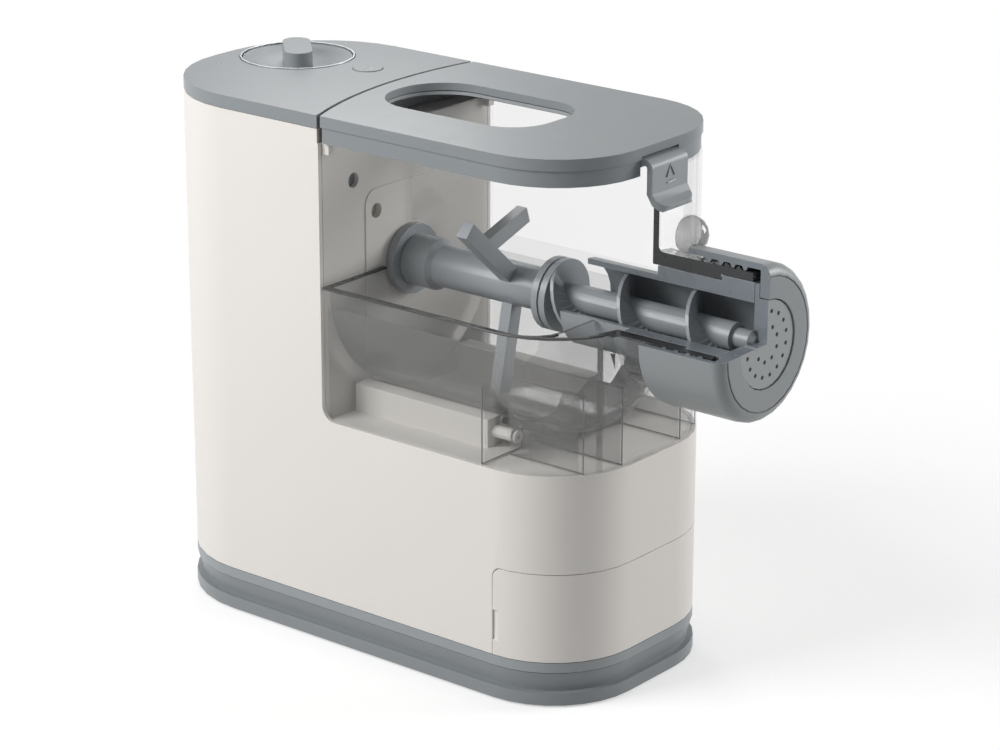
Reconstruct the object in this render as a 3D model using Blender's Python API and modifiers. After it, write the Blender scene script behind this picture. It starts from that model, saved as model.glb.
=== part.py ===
"""Electric pasta maker, as a cutaway assembly.

The machine lies along X with its outlet at +X, its near side is -Y and it stands on z = 0.
Lengths are metres. Inside the part x is counted from the back of the body: the empty named
machine_rear carries every piece and puts the middle of the whole length at x = 0.
The upper near quarter of the chamber, front panel, barrel, disc and ring nut is cut away.
"""

from math import acos, asin, atan2, cos, hypot, pi, radians, sin, sqrt, tan

import bmesh
import bpy
from mathutils import Matrix, Vector

# Fits shared by all pieces
GAP = 0.0003
OVERRUN = 0.002

# Fineness of round shapes, as counts
CORNER_STEPS = 8
SEAM_STEPS = 10
ROUND_STEPS = 24
NUT_STEPS = 28
TROUGH_STEPS = 40
SMALL_STEPS = 12
BALL_STEPS = 8
PIN_STEPS = 10

# Body outline, levels and walls
BODY_LENGTH = 0.2862
NUT_REACH = 0.0653
BODY_WIDTH = 0.135
REAR_FLAT = 0.0075
FRONT_FLAT = 0.0195
SHELL_WALL = 0.0025
BODY_BOTTOM_Z = 0.0236
AXIS_BELOW_TOP = 0.0885
CAP_HEIGHT = 0.0067
TOP_Z = 0.2815
TROUGH_RAISE = 0.0045
TOWER_FRONT_X = 0.1263
TOWER_NOTCH_RADIUS = 0.008
LEDGE_DEPTH = 0.0025
LEDGE_HEIGHT = 0.0026

# Base tray, chassis floor, feet and base screws
BASE_BOTTOM_Z = 0.0010
SKIRT_TOP_Z = 0.0078
GROOVE_TOP_Z = 0.0100
COVE_TOP_Z = 0.0184
SKIRT_PROUD = 0.0005
GROOVE_INSET = 0.0026
COVE_MIDDLE_INSET = 0.0014
COVE_TOP_INSET = 0.0004
BASE_WALL = 0.0026
BASE_FLOOR = 0.004
CHASSIS_THICKNESS = 0.0024
FOOT_RADIUS = 0.0075
FOOT_RECESS = 0.0018
FOOT_REAR_X = 0.034
FOOT_FRONT_SHY = 0.0402
FOOT_SIDE_SHY = 0.0265
SCREW_RADIUS = 0.0016
SCREW_HEAD_RADIUS = 0.0032
SCREW_HEAD_HEIGHT = 0.002
BASE_BOSS_RADIUS = 0.0045
BASE_SCREW_REAR_X = 0.062
BASE_SCREW_FRONT_SHY = 0.0642
BASE_SCREW_SIDE_SHY = 0.0195

# Seam between rear cap and lid, an arc in plan
SEAM_SHY_SHARE = 0.1267
SEAM_Y_SHARE = 0.157
SEAM_RADIUS_SHARE = 1.726
SEAM_GAP = 0.0020

# Rear cap with its dial, button and lens
CAP_PLATE = 0.003
CAP_RIM = 0.003
DIAL_X = 0.0344
DIAL_Y_SHARE = 0.14
DIAL_RADIUS_SHARE = 0.215
DIAL_DEPTH = 0.0045
DIAL_FLAT_RADIUS = 0.009
DIAL_THICKNESS = 0.0012
DIAL_RIM_BELOW_TOP = 0.0002
DIAL_RING_WALL = 0.001
DIAL_RING_PROUD = 0.0005
DIAL_RING_HEIGHT = 0.0034
DIAL_GAP = 0.0005
DIAL_SHAFT_RADIUS = 0.003
KNOB_ABOVE_TOP = 0.0055
KNOB_LENGTH = 0.038
KNOB_WIDTH = 0.0148
KNOB_ANGLE = radians(-45)
BUTTON_X = 0.0819
BUTTON_Y = 0.0210
BUTTON_RADIUS = 0.0078
BUTTON_PROUD = 0.0004
BUTTON_FLANGE = 0.0014
BUTTON_FLANGE_HEIGHT = 0.0012
BUTTON_STEM_RADIUS = 0.002
BUTTON_TRAVEL = 0.001
LENS_X = 0.0135
LENS_Y = -0.0196
LENS_RADIUS = 0.0012

# Control board and its switches
BOARD_BELOW_TOP = 0.0173
BOARD_THICKNESS = 0.0016
BOARD_INSET = 0.0055
BOARD_FRONT_X = 0.096
BOARD_POST_RADIUS = 0.003
BOARD_POST_SHARES = ((0.771, 0.356), (0.917, -0.341), (0.375, -0.326))
PROGRAM_SWITCH_SIZE = 0.014
PROGRAM_SWITCH_HEIGHT = 0.007
START_SWITCH_SIZE = 0.006
START_SWITCH_HEIGHT = 0.0035

# Tower front wall
TOWER_WALL = 0.003
TOWER_WALL_BELOW_DECK = 0.0522
TOWER_SHELF_BELOW_TOP = 0.0155
TOWER_SHELF_THICKNESS = 0.0025
TOWER_FLANGE = 0.002
PANEL_HALF_WIDTH = 0.033
PANEL_BELOW_AXIS = 0.0450
PANEL_ABOVE_AXIS = 0.0422
PANEL_RADIUS = 0.008
PANEL_PROUD = 0.0006
SAFETY_HOLE_Y = -0.0414
SAFETY_HOLE_ABOVE_AXIS = 0.0498
DRAIN_HOLE_Y = -0.0248
DRAIN_HOLE_ABOVE_AXIS = 0.0304
WALL_HOLE_RADIUS = 0.004
LUG_LENGTH = 0.0045
LUG_WIDTH = 0.0042
LUG_HEIGHT = 0.0058
SAFETY_SWITCH_LENGTH = 0.010
SAFETY_SWITCH_WIDTH = 0.016
SAFETY_SWITCH_HEIGHT = 0.012

# Lid, window and lid insert
LID_HEIGHT = 0.0141
LID_BAND_HEIGHT = 0.0059
LID_STEP = 0.0008
LID_PLATE = 0.004
LID_RIM = 0.003
WINDOW_SEAM_GAP = 0.0128
WINDOW_FRONT_SHY = 0.0632
WINDOW_HALF_WIDTH = 0.029
WINDOW_REAR_RADIUS = 0.027
WINDOW_FRONT_RADIUS = 0.022
WINDOW_WALL = 0.0024
INSERT_RECESS = 0.0005
INSERT_WALL = 0.0014
INSERT_BELOW_TOP = 0.0065

# Lid latch and its pin
LATCH_HALF_WIDTH = 0.0144
LATCH_SIDE_GAP = 0.0005
LATCH_THICKNESS = 0.0032
LATCH_FACE_REACH = 0.0059
LATCH_BELOW_TOP = 0.0055
LATCH_BEND = 0.0045
LATCH_CORNER = 0.0065
LATCH_LIP_BELOW_TOP = 0.0223
LATCH_LIP_MIDDLE_REACH = 0.0082
LATCH_LIP_MIDDLE_DROP = 0.0032
LATCH_LIP_END_REACH = 0.0122
LATCH_LIP_END_DROP = 0.0056
LATCH_PIN_SHY = 0.0030
LATCH_PIN_BELOW_TOP = 0.0081
LATCH_PIN_RADIUS = 0.0013
LATCH_KNUCKLE_RADIUS = 0.0025
LATCH_NOTCH_SHY = 0.0062
LATCH_LUG_WIDTH = 0.004
LATCH_LUG_HEIGHT = 0.0065

# Deck under the chamber
DECK_THICKNESS = 0.0026
RIDGE_FRONT_SHY = 0.0692
RIDGE_OUTER_SHY = 0.0215
RIDGE_INNER_SHY = 0.0315
RIDGE_HEIGHT = 0.0148
PEG_SIDE_SHY = 0.0270
PEG_ABOVE_DECK = 0.0078
PEG_RADIUS = 0.0032
PEG_BORE_RADIUS = 0.0012
PEG_LENGTH = 0.015
PAD_LENGTH = 0.025
PAD_THICKNESS = 0.0034
PAD_HALF_ANGLE = radians(31)

# Mixing chamber
CHAMBER_BACK_X = 0.1276
CHAMBER_WALL = 0.002
CHAMBER_BELOW_TOP = 0.0151
TROUGH_SIDE_SHY = 0.0012
TROUGH_FRONT_SHY = 0.0207
TROUGH_ROUNDING = 0.020
RIB_THICKNESS = 0.002
RIB_HEIGHT = 0.0408
CROSS_RIB_SHY = 0.0562
CROSS_RIB_SIDE_SHY = 0.0323
INNER_RIB_Y = 0.024
OUTER_RIB_SIDE_SHY = 0.0213
COUPLING_HOLE_RADIUS = 0.0205

# Front panel and collar
PANEL_SIDE_Y = 0.038
PANEL_WALL = 0.0035
COLLAR_RADIUS = 0.0338
COLLAR_BORE = 0.0268
COLLAR_COUNTERBORE = 0.0295
COLLAR_STEP_SHY = 0.0283
COLLAR_FRONT_SHY = 0.0099
COLLAR_FILLET = 0.003
THREAD_PITCH = 0.00698
THREAD_STARTS = 4
THREAD_HEIGHT = 0.0018
THREAD_ROOT = 0.0032
THREAD_TIP = 0.0013
THREAD_START_SHY = 0.0457
THREAD_LENGTH = 0.02792
GRIP_RADIUS = 0.0098
GRIP_PROUD = 0.0020
GRIP_Y = 0.0225
GRIP_ABOVE_AXIS = 0.0375

# Barrel, shaping disc and ring nut
BARREL_REAR_SHY = 0.0432
BARREL_BORE = 0.019
BARREL_RADIUS = 0.022
BARREL_NECK_SHY = 0.0005
BARREL_FRONT_SHY = 0.0089
DISC_FLANGE_THICKNESS = 0.0026
DISC_FLANGE_SHY = 0.0004
DISC_BOSS_RADIUS = 0.0219
DISC_SHY = 0.0008
DISC_HOLE_RADIUS = 0.0012
DISC_HOLE_RING_SHARES = (0.40, 0.74)
DISC_HOLE_COUNTS = (9, 16)
NUT_RADIUS = 0.0393
NUT_LENGTH = 0.0479
NUT_BORE = 0.0360
NUT_LIP = 0.0056
NUT_MOUTH_CLEARANCE = 0.0005
NUT_ROUNDING = 0.006
NUT_GROOVE_RADIUS = 0.0333
NUT_GROOVE_WIDTH = 0.0008
NUT_GROOVE_DEPTH = 0.001

# Drive coupling, paddle and auger
COUPLING_RADIUS = 0.0186
COUPLING_REAR_X = 0.1272
COUPLING_THICKNESS = 0.005
COUPLING_BOSS_RADIUS = 0.0095
COUPLING_BOSS_LENGTH = 0.016
PADDLE_TUBE_RADIUS = 0.011
PADDLE_FRONT_SHY = 0.0647
PADDLE_NECK_RADIUS = 0.0085
ARM_REACH = 0.056
ARM_WIDTH = 0.0085
ARM_THICKNESS = 0.0065
ARM_PLACE_SHARES = (0.681, 0.652, 0.128)
ARM_ANGLES = (radians(138), radians(258), radians(18))
AUGER_FLANGE_RADIUS = 0.0187
AUGER_FLANGE_LENGTH = 0.0085
AUGER_GROOVE_WIDTH = 0.0012
AUGER_GROOVE_DEPTH = 0.0012
AUGER_CORE_RADIUS = 0.0072
AUGER_NOSE_RADIUS = 0.005
AUGER_NOSE_SHY = 0.0066
AUGER_FLIGHT_RADIUS = 0.0184
AUGER_PITCH = 0.041
AUGER_TURNS = 2.55
AUGER_FLIGHT_PHASE = radians(111)
AUGER_FLIGHT_ROOT = 0.0036
AUGER_FLIGHT_TIP = 0.002
DISC_CENTRE_CLEARANCE = 0.0008

# Gear train: output wheel, idler and motor pinion, one above another
OUTPUT_MODULE = 0.0018
MOTOR_MODULE = 0.0015
WHEEL_TEETH = 40
PINION_TEETH = 10
ADDENDUM_SHARE = 0.82
DEDENDUM_SHARE = 1.15
BACKLASH_SHARE = 0.16
PRESSURE_ANGLE = radians(20)
WHEEL_WIDTH = 0.009
OUTPUT_WHEEL_REAR_X = 0.108
IDLER_WHEEL_REAR_X = 0.0975
PINION_MARGIN = 0.001
SHAFT_RADIUS = 0.006
SHAFT_REAR_X = 0.0925
SHAFT_FRONT_CLEARANCE = 0.002
MOTOR_SHAFT_RADIUS = 0.003
IDLER_PIN_RADIUS = 0.0028
BUSH_WALL = 0.0025
RUNNING_CLEARANCE = 0.00025

# Gearbox housing, cover, seal, motor and fan
HOUSING_REAR_X = 0.0905
HOUSING_FRONT_X = 0.1205
HOUSING_WALL = 0.003
HOUSING_TOP_RADIUS = 0.0415
HOUSING_LOW_RADIUS = 0.0355
SEAL_RADIUS = 0.0105
MOTOR_RADIUS = 0.030
MOTOR_LENGTH = 0.058
MOTOR_BOSS_RADIUS = 0.006
MOTOR_BOSS_LENGTH = 0.003
MOTOR_SCREW_OFFSET = 0.018
MOTOR_SCREW_DEPTH = 0.005
FAN_RADIUS = 0.024
FAN_HUB_RADIUS = 0.007
FAN_WIDTH = 0.007
FAN_BLADES = 7
FAN_BLADE_THICKNESS = 0.0014
FAN_CLEARANCE = 0.002
GLAND_RADIUS = 0.0055
GLAND_BORE = 0.003
GLAND_LENGTH = 0.009
GLAND_FLANGE = 0.0018
GLAND_Z = 0.040

# Drawer
DRAWER_LENGTH = 0.0489
DRAWER_TOP_Z = 0.0708
DRAWER_CORNER = 0.005
DRAWER_NOTCH_LOW_Z = 0.032
DRAWER_NOTCH_HIGH_Z = 0.048
DRAWER_NOTCH_WIDTH = 0.003
DRAWER_TRAY_LENGTH = 0.1302
DRAWER_TRAY_TOP_Z = 0.058
DRAWER_TRAY_WALL = 0.0022
DRAWER_TRAY_FLOOR = 0.0024
SPARE_DISC_SHY = 0.0385
SPARE_DISC_PITCH = 0.0600

# Places and sizes that follow from the ones above
REAR_RADIUS = BODY_WIDTH / 2 - REAR_FLAT
FRONT_RADIUS = BODY_WIDTH / 2 - FRONT_FLAT
NUT_FRONT_X = BODY_LENGTH + NUT_REACH
TROUGH_RADIUS = BODY_WIDTH / 2 - TROUGH_SIDE_SHY
AXIS_Z = TOP_Z - AXIS_BELOW_TOP
LOWER_TOP_Z = AXIS_Z - TROUGH_RADIUS - TROUGH_RAISE
SEAM_RADIUS = BODY_WIDTH * SEAM_RADIUS_SHARE
SEAM_X = TOWER_FRONT_X - BODY_WIDTH * SEAM_SHY_SHARE
SEAM_Y = BODY_WIDTH * SEAM_Y_SHARE
DIAL_RADIUS = BODY_WIDTH * DIAL_RADIUS_SHARE
DIAL_Y = BODY_WIDTH * DIAL_Y_SHARE
FOOT_FRONT_X = BODY_LENGTH - FOOT_FRONT_SHY
FOOT_Y = BODY_WIDTH / 2 - FOOT_SIDE_SHY
BASE_SCREW_FRONT_X = BODY_LENGTH - BASE_SCREW_FRONT_SHY
BASE_SCREW_Y = BODY_WIDTH / 2 - BASE_SCREW_SIDE_SHY
WINDOW_FRONT_X = BODY_LENGTH - WINDOW_FRONT_SHY
LATCH_FACE_X = BODY_LENGTH + LATCH_FACE_REACH
LATCH_PIN_X = BODY_LENGTH - LATCH_PIN_SHY
LATCH_NOTCH_REAR_X = BODY_LENGTH - LATCH_NOTCH_SHY
RIDGE_FRONT_X = BODY_LENGTH - RIDGE_FRONT_SHY
RIDGE_OUTER_Y = BODY_WIDTH / 2 - RIDGE_OUTER_SHY
RIDGE_INNER_Y = BODY_WIDTH / 2 - RIDGE_INNER_SHY
PEG_Y = BODY_WIDTH / 2 - PEG_SIDE_SHY
TROUGH_FRONT_X = BODY_LENGTH - TROUGH_FRONT_SHY
CROSS_RIB_X = BODY_LENGTH - CROSS_RIB_SHY
CROSS_RIB_INNER_Y = BODY_WIDTH / 2 - CROSS_RIB_SIDE_SHY
OUTER_RIB_Y = BODY_WIDTH / 2 - OUTER_RIB_SIDE_SHY
COLLAR_STEP_X = NUT_FRONT_X - COLLAR_STEP_SHY
COLLAR_FRONT_X = NUT_FRONT_X - COLLAR_FRONT_SHY
THREAD_START_X = NUT_FRONT_X - THREAD_START_SHY
GRIP_X = BODY_LENGTH + GRIP_PROUD
BARREL_REAR_X = BODY_LENGTH - BARREL_REAR_SHY
BARREL_NECK_X = BODY_LENGTH - BARREL_NECK_SHY
BARREL_FRONT_X = NUT_FRONT_X - BARREL_FRONT_SHY
NUT_REAR_X = NUT_FRONT_X - NUT_LENGTH
PADDLE_FRONT_X = BODY_LENGTH - PADDLE_FRONT_SHY
AUGER_NOSE_X = NUT_FRONT_X - AUGER_NOSE_SHY
DRAWER_REAR_X = BODY_LENGTH - DRAWER_LENGTH
DRAWER_TRAY_REAR_X = BODY_LENGTH - DRAWER_TRAY_LENGTH
CAP_BOTTOM_Z = TOP_Z - CAP_HEIGHT
KNOB_TOP_Z = TOP_Z + KNOB_ABOVE_TOP
BOARD_TOP_Z = TOP_Z - BOARD_BELOW_TOP
TOWER_SHELF_TOP_Z = TOP_Z - TOWER_SHELF_BELOW_TOP
TOWER_WALL_BOTTOM_Z = LOWER_TOP_Z - TOWER_WALL_BELOW_DECK
PANEL_BOTTOM_Z = AXIS_Z - PANEL_BELOW_AXIS
PANEL_TOP_Z = AXIS_Z + PANEL_ABOVE_AXIS
SAFETY_HOLE_Z = AXIS_Z + SAFETY_HOLE_ABOVE_AXIS
DRAIN_HOLE_Z = AXIS_Z + DRAIN_HOLE_ABOVE_AXIS
LID_BOTTOM_Z = TOP_Z - LID_HEIGHT
LID_BAND_Z = TOP_Z - LID_BAND_HEIGHT
WINDOW_REAR_X = SEAM_X + WINDOW_SEAM_GAP
INSERT_BOTTOM_Z = TOP_Z - INSERT_BELOW_TOP
LATCH_TOP_Z = TOP_Z - LATCH_BELOW_TOP
LATCH_LIP_START_Z = TOP_Z - LATCH_LIP_BELOW_TOP
LATCH_LIP_MIDDLE = (BODY_LENGTH + LATCH_LIP_MIDDLE_REACH,
                    LATCH_LIP_START_Z - LATCH_LIP_MIDDLE_DROP)
LATCH_LIP_END = (BODY_LENGTH + LATCH_LIP_END_REACH, LATCH_LIP_START_Z - LATCH_LIP_END_DROP)
LATCH_PIN_Z = TOP_Z - LATCH_PIN_BELOW_TOP
RIDGE_TOP_Z = LOWER_TOP_Z + RIDGE_HEIGHT
PEG_Z = LOWER_TOP_Z + PEG_ABOVE_DECK
CHAMBER_TOP_Z = TOP_Z - CHAMBER_BELOW_TOP
RIB_TOP_Z = LOWER_TOP_Z + RIB_HEIGHT
GRIP_Z = AXIS_Z + GRIP_ABOVE_AXIS

# Colours, as red, green and blue shares
WHITE_SHARES = (0.74, 0.71, 0.68)
GREY_SHARES = (0.25, 0.27, 0.28)
PALE_GREY_SHARES = (0.42, 0.44, 0.45)
SILVER_SHARES = (0.55, 0.57, 0.58)
CLEAR_SHARES = (0.80, 0.82, 0.82)
DARK_SHARES = (0.03, 0.03, 0.03)
STEEL_SHARES = (0.50, 0.50, 0.51)
BRASS_SHARES = (0.65, 0.48, 0.22)
BOARD_SHARES = (0.03, 0.16, 0.07)
GEAR_SHARES = (0.80, 0.78, 0.70)

# How a shape drawn flat, with its height along Z, is turned to lie along each axis
TURNS = {
    "z": Matrix.Identity(4),
    "x": Matrix(((0, 0, 1, 0), (1, 0, 0, 0), (0, 1, 0, 0), (0, 0, 0, 1))),
    "y": Matrix(((1, 0, 0, 0), (0, 0, -1, 0), (0, 1, 0, 0), (0, 0, 0, 1))),
}
DRIVE_AXIS = (0, 0, AXIS_Z)


def clear_scene():
    for thing in list(bpy.data.objects):
        bpy.data.objects.remove(thing, do_unlink=True)


def collection(name):
    made = bpy.data.collections.new(name)
    bpy.context.scene.collection.children.link(made)
    return made


def material(name, shares, roughness, metallic=0, transmission=0):
    made = bpy.data.materials.new(name)
    made.use_nodes = True
    shader = made.node_tree.nodes["Principled BSDF"]
    shader.inputs["Base Color"].default_value = (*shares, 1)
    shader.inputs["Roughness"].default_value = roughness
    shader.inputs["Metallic"].default_value = metallic
    shader.inputs["Transmission Weight"].default_value = transmission
    made.diffuse_color = (*shares, 1)
    return made


def place(name, mesh, at=(0, 0, 0)):
    """Puts a mesh in the machine as an object whose origin is at the given point."""
    thing = bpy.data.objects.new(name, mesh)
    parts.objects.link(thing)
    thing.parent = machine_rear
    thing.location = at
    return thing


def finished_mesh(mesh):
    """Welds a mesh, points its faces outwards and shades it smooth but for its edges."""
    work = bmesh.new()
    work.from_mesh(mesh)
    bmesh.ops.remove_doubles(work, verts=work.verts, dist=MERGE)
    rims = [edge for edge in work.edges if edge.is_boundary]
    if rims:
        bmesh.ops.holes_fill(work, edges=rims, sides=0)
    bmesh.ops.dissolve_limit(work, angle_limit=FLAT_ANGLE, verts=work.verts, edges=work.edges)
    bmesh.ops.recalc_face_normals(work, faces=work.faces)
    work.to_mesh(mesh)
    work.free()
    mesh.shade_smooth()
    mesh.set_sharp_from_angle(angle=SMOOTH_ANGLE)
    return mesh


def mesh_of(name, data, modify=None):
    """The evaluated mesh of a curve, or of a mesh with one modifier set up by modify."""
    holder = bpy.data.objects.new(name, data)
    parts.objects.link(holder)
    if modify:
        modify(holder)
    graph = bpy.context.evaluated_depsgraph_get()
    mesh = bpy.data.meshes.new_from_object(holder.evaluated_get(graph))
    bpy.data.objects.remove(holder, do_unlink=True)
    mesh.name = name
    return mesh


def distinct(loop):
    """The loop without points that repeat the one before them."""
    return [point for point, before in zip(loop, loop[-1:] + loop[:-1])
            if hypot(point[0] - before[0], point[1] - before[1]) > MERGE]


def slab(name, loops, low, high, axis="z", at=(0, 0, 0)):
    """Flat outlines, the inner ones holes, drawn out from low to high along an axis.

    Along x an outline is given in y and z, and along y in x and z.
    """
    curve = bpy.data.curves.new(name, "CURVE")
    curve.dimensions = "2D"
    curve.fill_mode = "BOTH"
    curve.extrude = (high - low) / 2
    for loop in loops:
        points = distinct(loop)
        spline = curve.splines.new("POLY")
        spline.points.add(len(points) - 1)
        for point, (across, up) in zip(spline.points, points):
            point.co = (across, up, 0, 1)
        spline.use_cyclic_u = True
    mesh = mesh_of(name, curve)
    middle = (low + high) / 2
    mesh.transform(Matrix.Translation((0, 0, -middle if axis == "y" else middle)))
    mesh.transform(TURNS[axis])
    return place(name, finished_mesh(mesh), at)


def turned(name, profile, axis="z", at=(0, 0, 0), ring=False, steps=ROUND_STEPS):
    """A profile of radius and height pairs turned about an axis. A ring's profile closes."""
    mesh = bpy.data.meshes.new(name)
    links = [(index, index + 1) for index in range(len(profile) - 1)]
    if ring:
        links.append((len(profile) - 1, 0))
    mesh.from_pydata([(radius, 0, height) for radius, height in profile], links, [])

    def screw(holder):
        turn = holder.modifiers.new("Turn", "SCREW")
        turn.steps = steps
        turn.render_steps = steps
        turn.use_merge_vertices = True
        turn.merge_threshold = MERGE

    made = mesh_of(name, mesh, screw)
    made.transform(TURNS[axis])
    return place(name, finished_mesh(made), at)


def thread(name, root, tip, inner, outer, lead, turns, start, phase, steps_per_turn):
    """One helical ridge about X. Its width is root at the inner radius and tip at the outer."""
    mesh = bpy.data.meshes.new(name)
    corners = [(inner, -root / 2), (outer, -tip / 2), (outer, tip / 2), (inner, root / 2)]
    links = [(index, (index + 1) % len(corners)) for index in range(len(corners))]
    mesh.from_pydata([(radius, 0, height) for radius, height in corners], links, [])
    steps = round(steps_per_turn * turns)

    def screw(holder):
        turn = holder.modifiers.new("Turn", "SCREW")
        turn.angle = 2 * pi * turns
        turn.screw_offset = lead * turns
        turn.steps = steps
        turn.render_steps = steps

    made = mesh_of(name, mesh, screw)
    made.transform(Matrix.Rotation(phase, 4, "Z"))
    made.transform(TURNS["x"])
    made.transform(Matrix.Translation((start, 0, 0)))
    return place(name, finished_mesh(made), DRIVE_AXIS)


def cylinder(name, radius, low, high, axis="z", at=(0, 0, 0), steps=SMALL_STEPS, top=None):
    """A cylinder from low to high along an axis, or a cone with another radius at its top."""
    work = bmesh.new()
    bmesh.ops.create_cone(work, cap_ends=True, segments=steps, radius1=radius,
                          radius2=radius if top is None else top, depth=high - low)
    mesh = bpy.data.meshes.new(name)
    work.to_mesh(mesh)
    work.free()
    mesh.transform(Matrix.Translation((0, 0, (low + high) / 2)))
    mesh.transform(TURNS[axis])
    return place(name, finished_mesh(mesh), at)


def box(name, low, high, at=(0, 0, 0)):
    work = bmesh.new()
    bmesh.ops.create_cube(work, size=1)
    mesh = bpy.data.meshes.new(name)
    work.to_mesh(mesh)
    work.free()
    size = [far - near for near, far in zip(low, high)]
    middle = [(far + near) / 2 for near, far in zip(low, high)]
    mesh.transform(Matrix.Translation(middle) @ Matrix.Diagonal((*size, 1)))
    return place(name, finished_mesh(mesh), at)


def ball(name, radius, at, steps=BALL_STEPS):
    work = bmesh.new()
    bmesh.ops.create_uvsphere(work, u_segments=2 * steps, v_segments=steps, radius=radius)
    mesh = bpy.data.meshes.new(name)
    work.to_mesh(mesh)
    work.free()
    return place(name, finished_mesh(mesh), at)


def lofted(name, rings):
    """A solid whose level rings follow the body outline, each a pair of inset and height."""
    work = bmesh.new()
    rows = [[work.verts.new((x, y, height)) for x, y in body_outline(inset)]
            for inset, height in rings]
    for lower, upper in zip(rows, rows[1:]):
        for index in range(len(lower)):
            following = (index + 1) % len(lower)
            work.faces.new((lower[index], lower[following], upper[following], upper[index]))
    work.faces.new(rows[0])
    work.faces.new(rows[-1])
    mesh = bpy.data.meshes.new(name)
    work.to_mesh(mesh)
    work.free()
    return place(name, finished_mesh(mesh))


def combine(target, tool, operation):
    step = target.modifiers.new(tool.name, "BOOLEAN")
    step.operation = operation
    step.object = tool
    if tool.name in parts.objects:
        parts.objects.unlink(tool)
        cutters.objects.link(tool)
        tool.hide_render = True
        tool.display_type = "WIRE"


def cut(target, *tools):
    for tool in tools:
        combine(target, tool, "DIFFERENCE")


def join(target, *tools):
    for tool in tools:
        combine(target, tool, "UNION")


def keep(target, tool):
    combine(target, tool, "INTERSECT")


def paint(look, *things):
    for thing in things:
        thing.data.materials.clear()
        thing.data.materials.append(look)


def pivot_at(thing, point):
    """Moves a fixed piece's origin to the joint axis that it turns about."""
    offset = Vector(point) - thing.location
    thing.data.transform(Matrix.Translation(-offset))
    thing.location = point


# Outlines in plan, counterclockwise from the near front corner


def arc(x, y, radius, first, last, steps=CORNER_STEPS):
    angles = [first + (last - first) * index / steps for index in range(steps + 1)]
    return [(x + radius * cos(angle), y + radius * sin(angle)) for angle in angles]


def front_corners(inset):
    x = BODY_LENGTH - FRONT_RADIUS
    y = BODY_WIDTH / 2 - FRONT_RADIUS
    radius = FRONT_RADIUS - inset
    return arc(x, -y, radius, -pi / 2, 0) + arc(x, y, radius, 0, pi / 2)


def rear_corners(inset):
    y = BODY_WIDTH / 2 - REAR_RADIUS
    radius = REAR_RADIUS - inset
    return (arc(REAR_RADIUS, y, radius, pi / 2, pi)
            + arc(REAR_RADIUS, -y, radius, pi, 3 * pi / 2))


def body_outline(inset=0):
    return front_corners(inset) + rear_corners(inset)


def front_outline(inset, rear_x):
    """The body outline in front of rear_x."""
    side = BODY_WIDTH / 2 - inset
    return [(rear_x, -side)] + front_corners(inset) + [(rear_x, side)]


def seam(offset, inset):
    """The seam's arc, moved rearwards by offset, from the far side to the near side."""
    side = BODY_WIDTH / 2 - inset
    radius = SEAM_RADIUS + offset
    first = pi - asin((side - SEAM_Y) / radius)
    last = pi + asin((side + SEAM_Y) / radius)
    return arc(SEAM_X + SEAM_RADIUS, SEAM_Y, radius, first, last, SEAM_STEPS)


def lid_outline(inset=0):
    return front_corners(inset) + seam(-SEAM_GAP / 2 - inset, inset)


def cap_outline(inset=0):
    return rear_corners(inset) + seam(SEAM_GAP / 2 + inset, inset)[::-1]


def window_outline(offset=0):
    rear = WINDOW_REAR_RADIUS + offset
    front = WINDOW_FRONT_RADIUS + offset
    side = WINDOW_HALF_WIDTH + offset
    rear_x = WINDOW_REAR_X - offset + rear
    front_x = WINDOW_FRONT_X + offset - front
    return (arc(front_x, front - side, front, -pi / 2, 0)
            + arc(front_x, side - front, front, 0, pi / 2)
            + arc(rear_x, side - rear, rear, pi / 2, pi)
            + arc(rear_x, rear - side, rear, pi, 3 * pi / 2))


def stadium(length, width, angle):
    """A bar with round ends, centred and turned by angle."""
    radius = width / 2
    reach = length / 2 - radius
    ends = (arc(reach, 0, radius, -pi / 2, pi / 2)
            + arc(-reach, 0, radius, pi / 2, 3 * pi / 2))
    return [(x * cos(angle) - y * sin(angle), x * sin(angle) + y * cos(angle)) for x, y in ends]


def belt_outline(upper_z, upper_radius, lower_z, lower_radius, inset=0):
    """Two circles one above the other with the straight tangents between them, in y and z."""
    tilt = asin((upper_radius - lower_radius) / (upper_z - lower_z))
    steps = 2 * CORNER_STEPS
    return (arc(0, upper_z, upper_radius - inset, -tilt, pi + tilt, steps)
            + arc(0, lower_z, lower_radius - inset, pi + tilt, 2 * pi - tilt, steps))


def ribbon(points, thickness):
    """The outline of a bent strip that lies inside a line of points."""
    inner = []
    for index, (x, z) in enumerate(points):
        before = points[max(index - 1, 0)]
        after = points[min(index + 1, len(points) - 1)]
        run = hypot(after[0] - before[0], after[1] - before[1])
        side = ((after[1] - before[1]) / run, -(after[0] - before[0]) / run)
        inner.append((x + side[0] * thickness, z + side[1] * thickness))
    return points + inner[::-1]


# Casing


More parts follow.
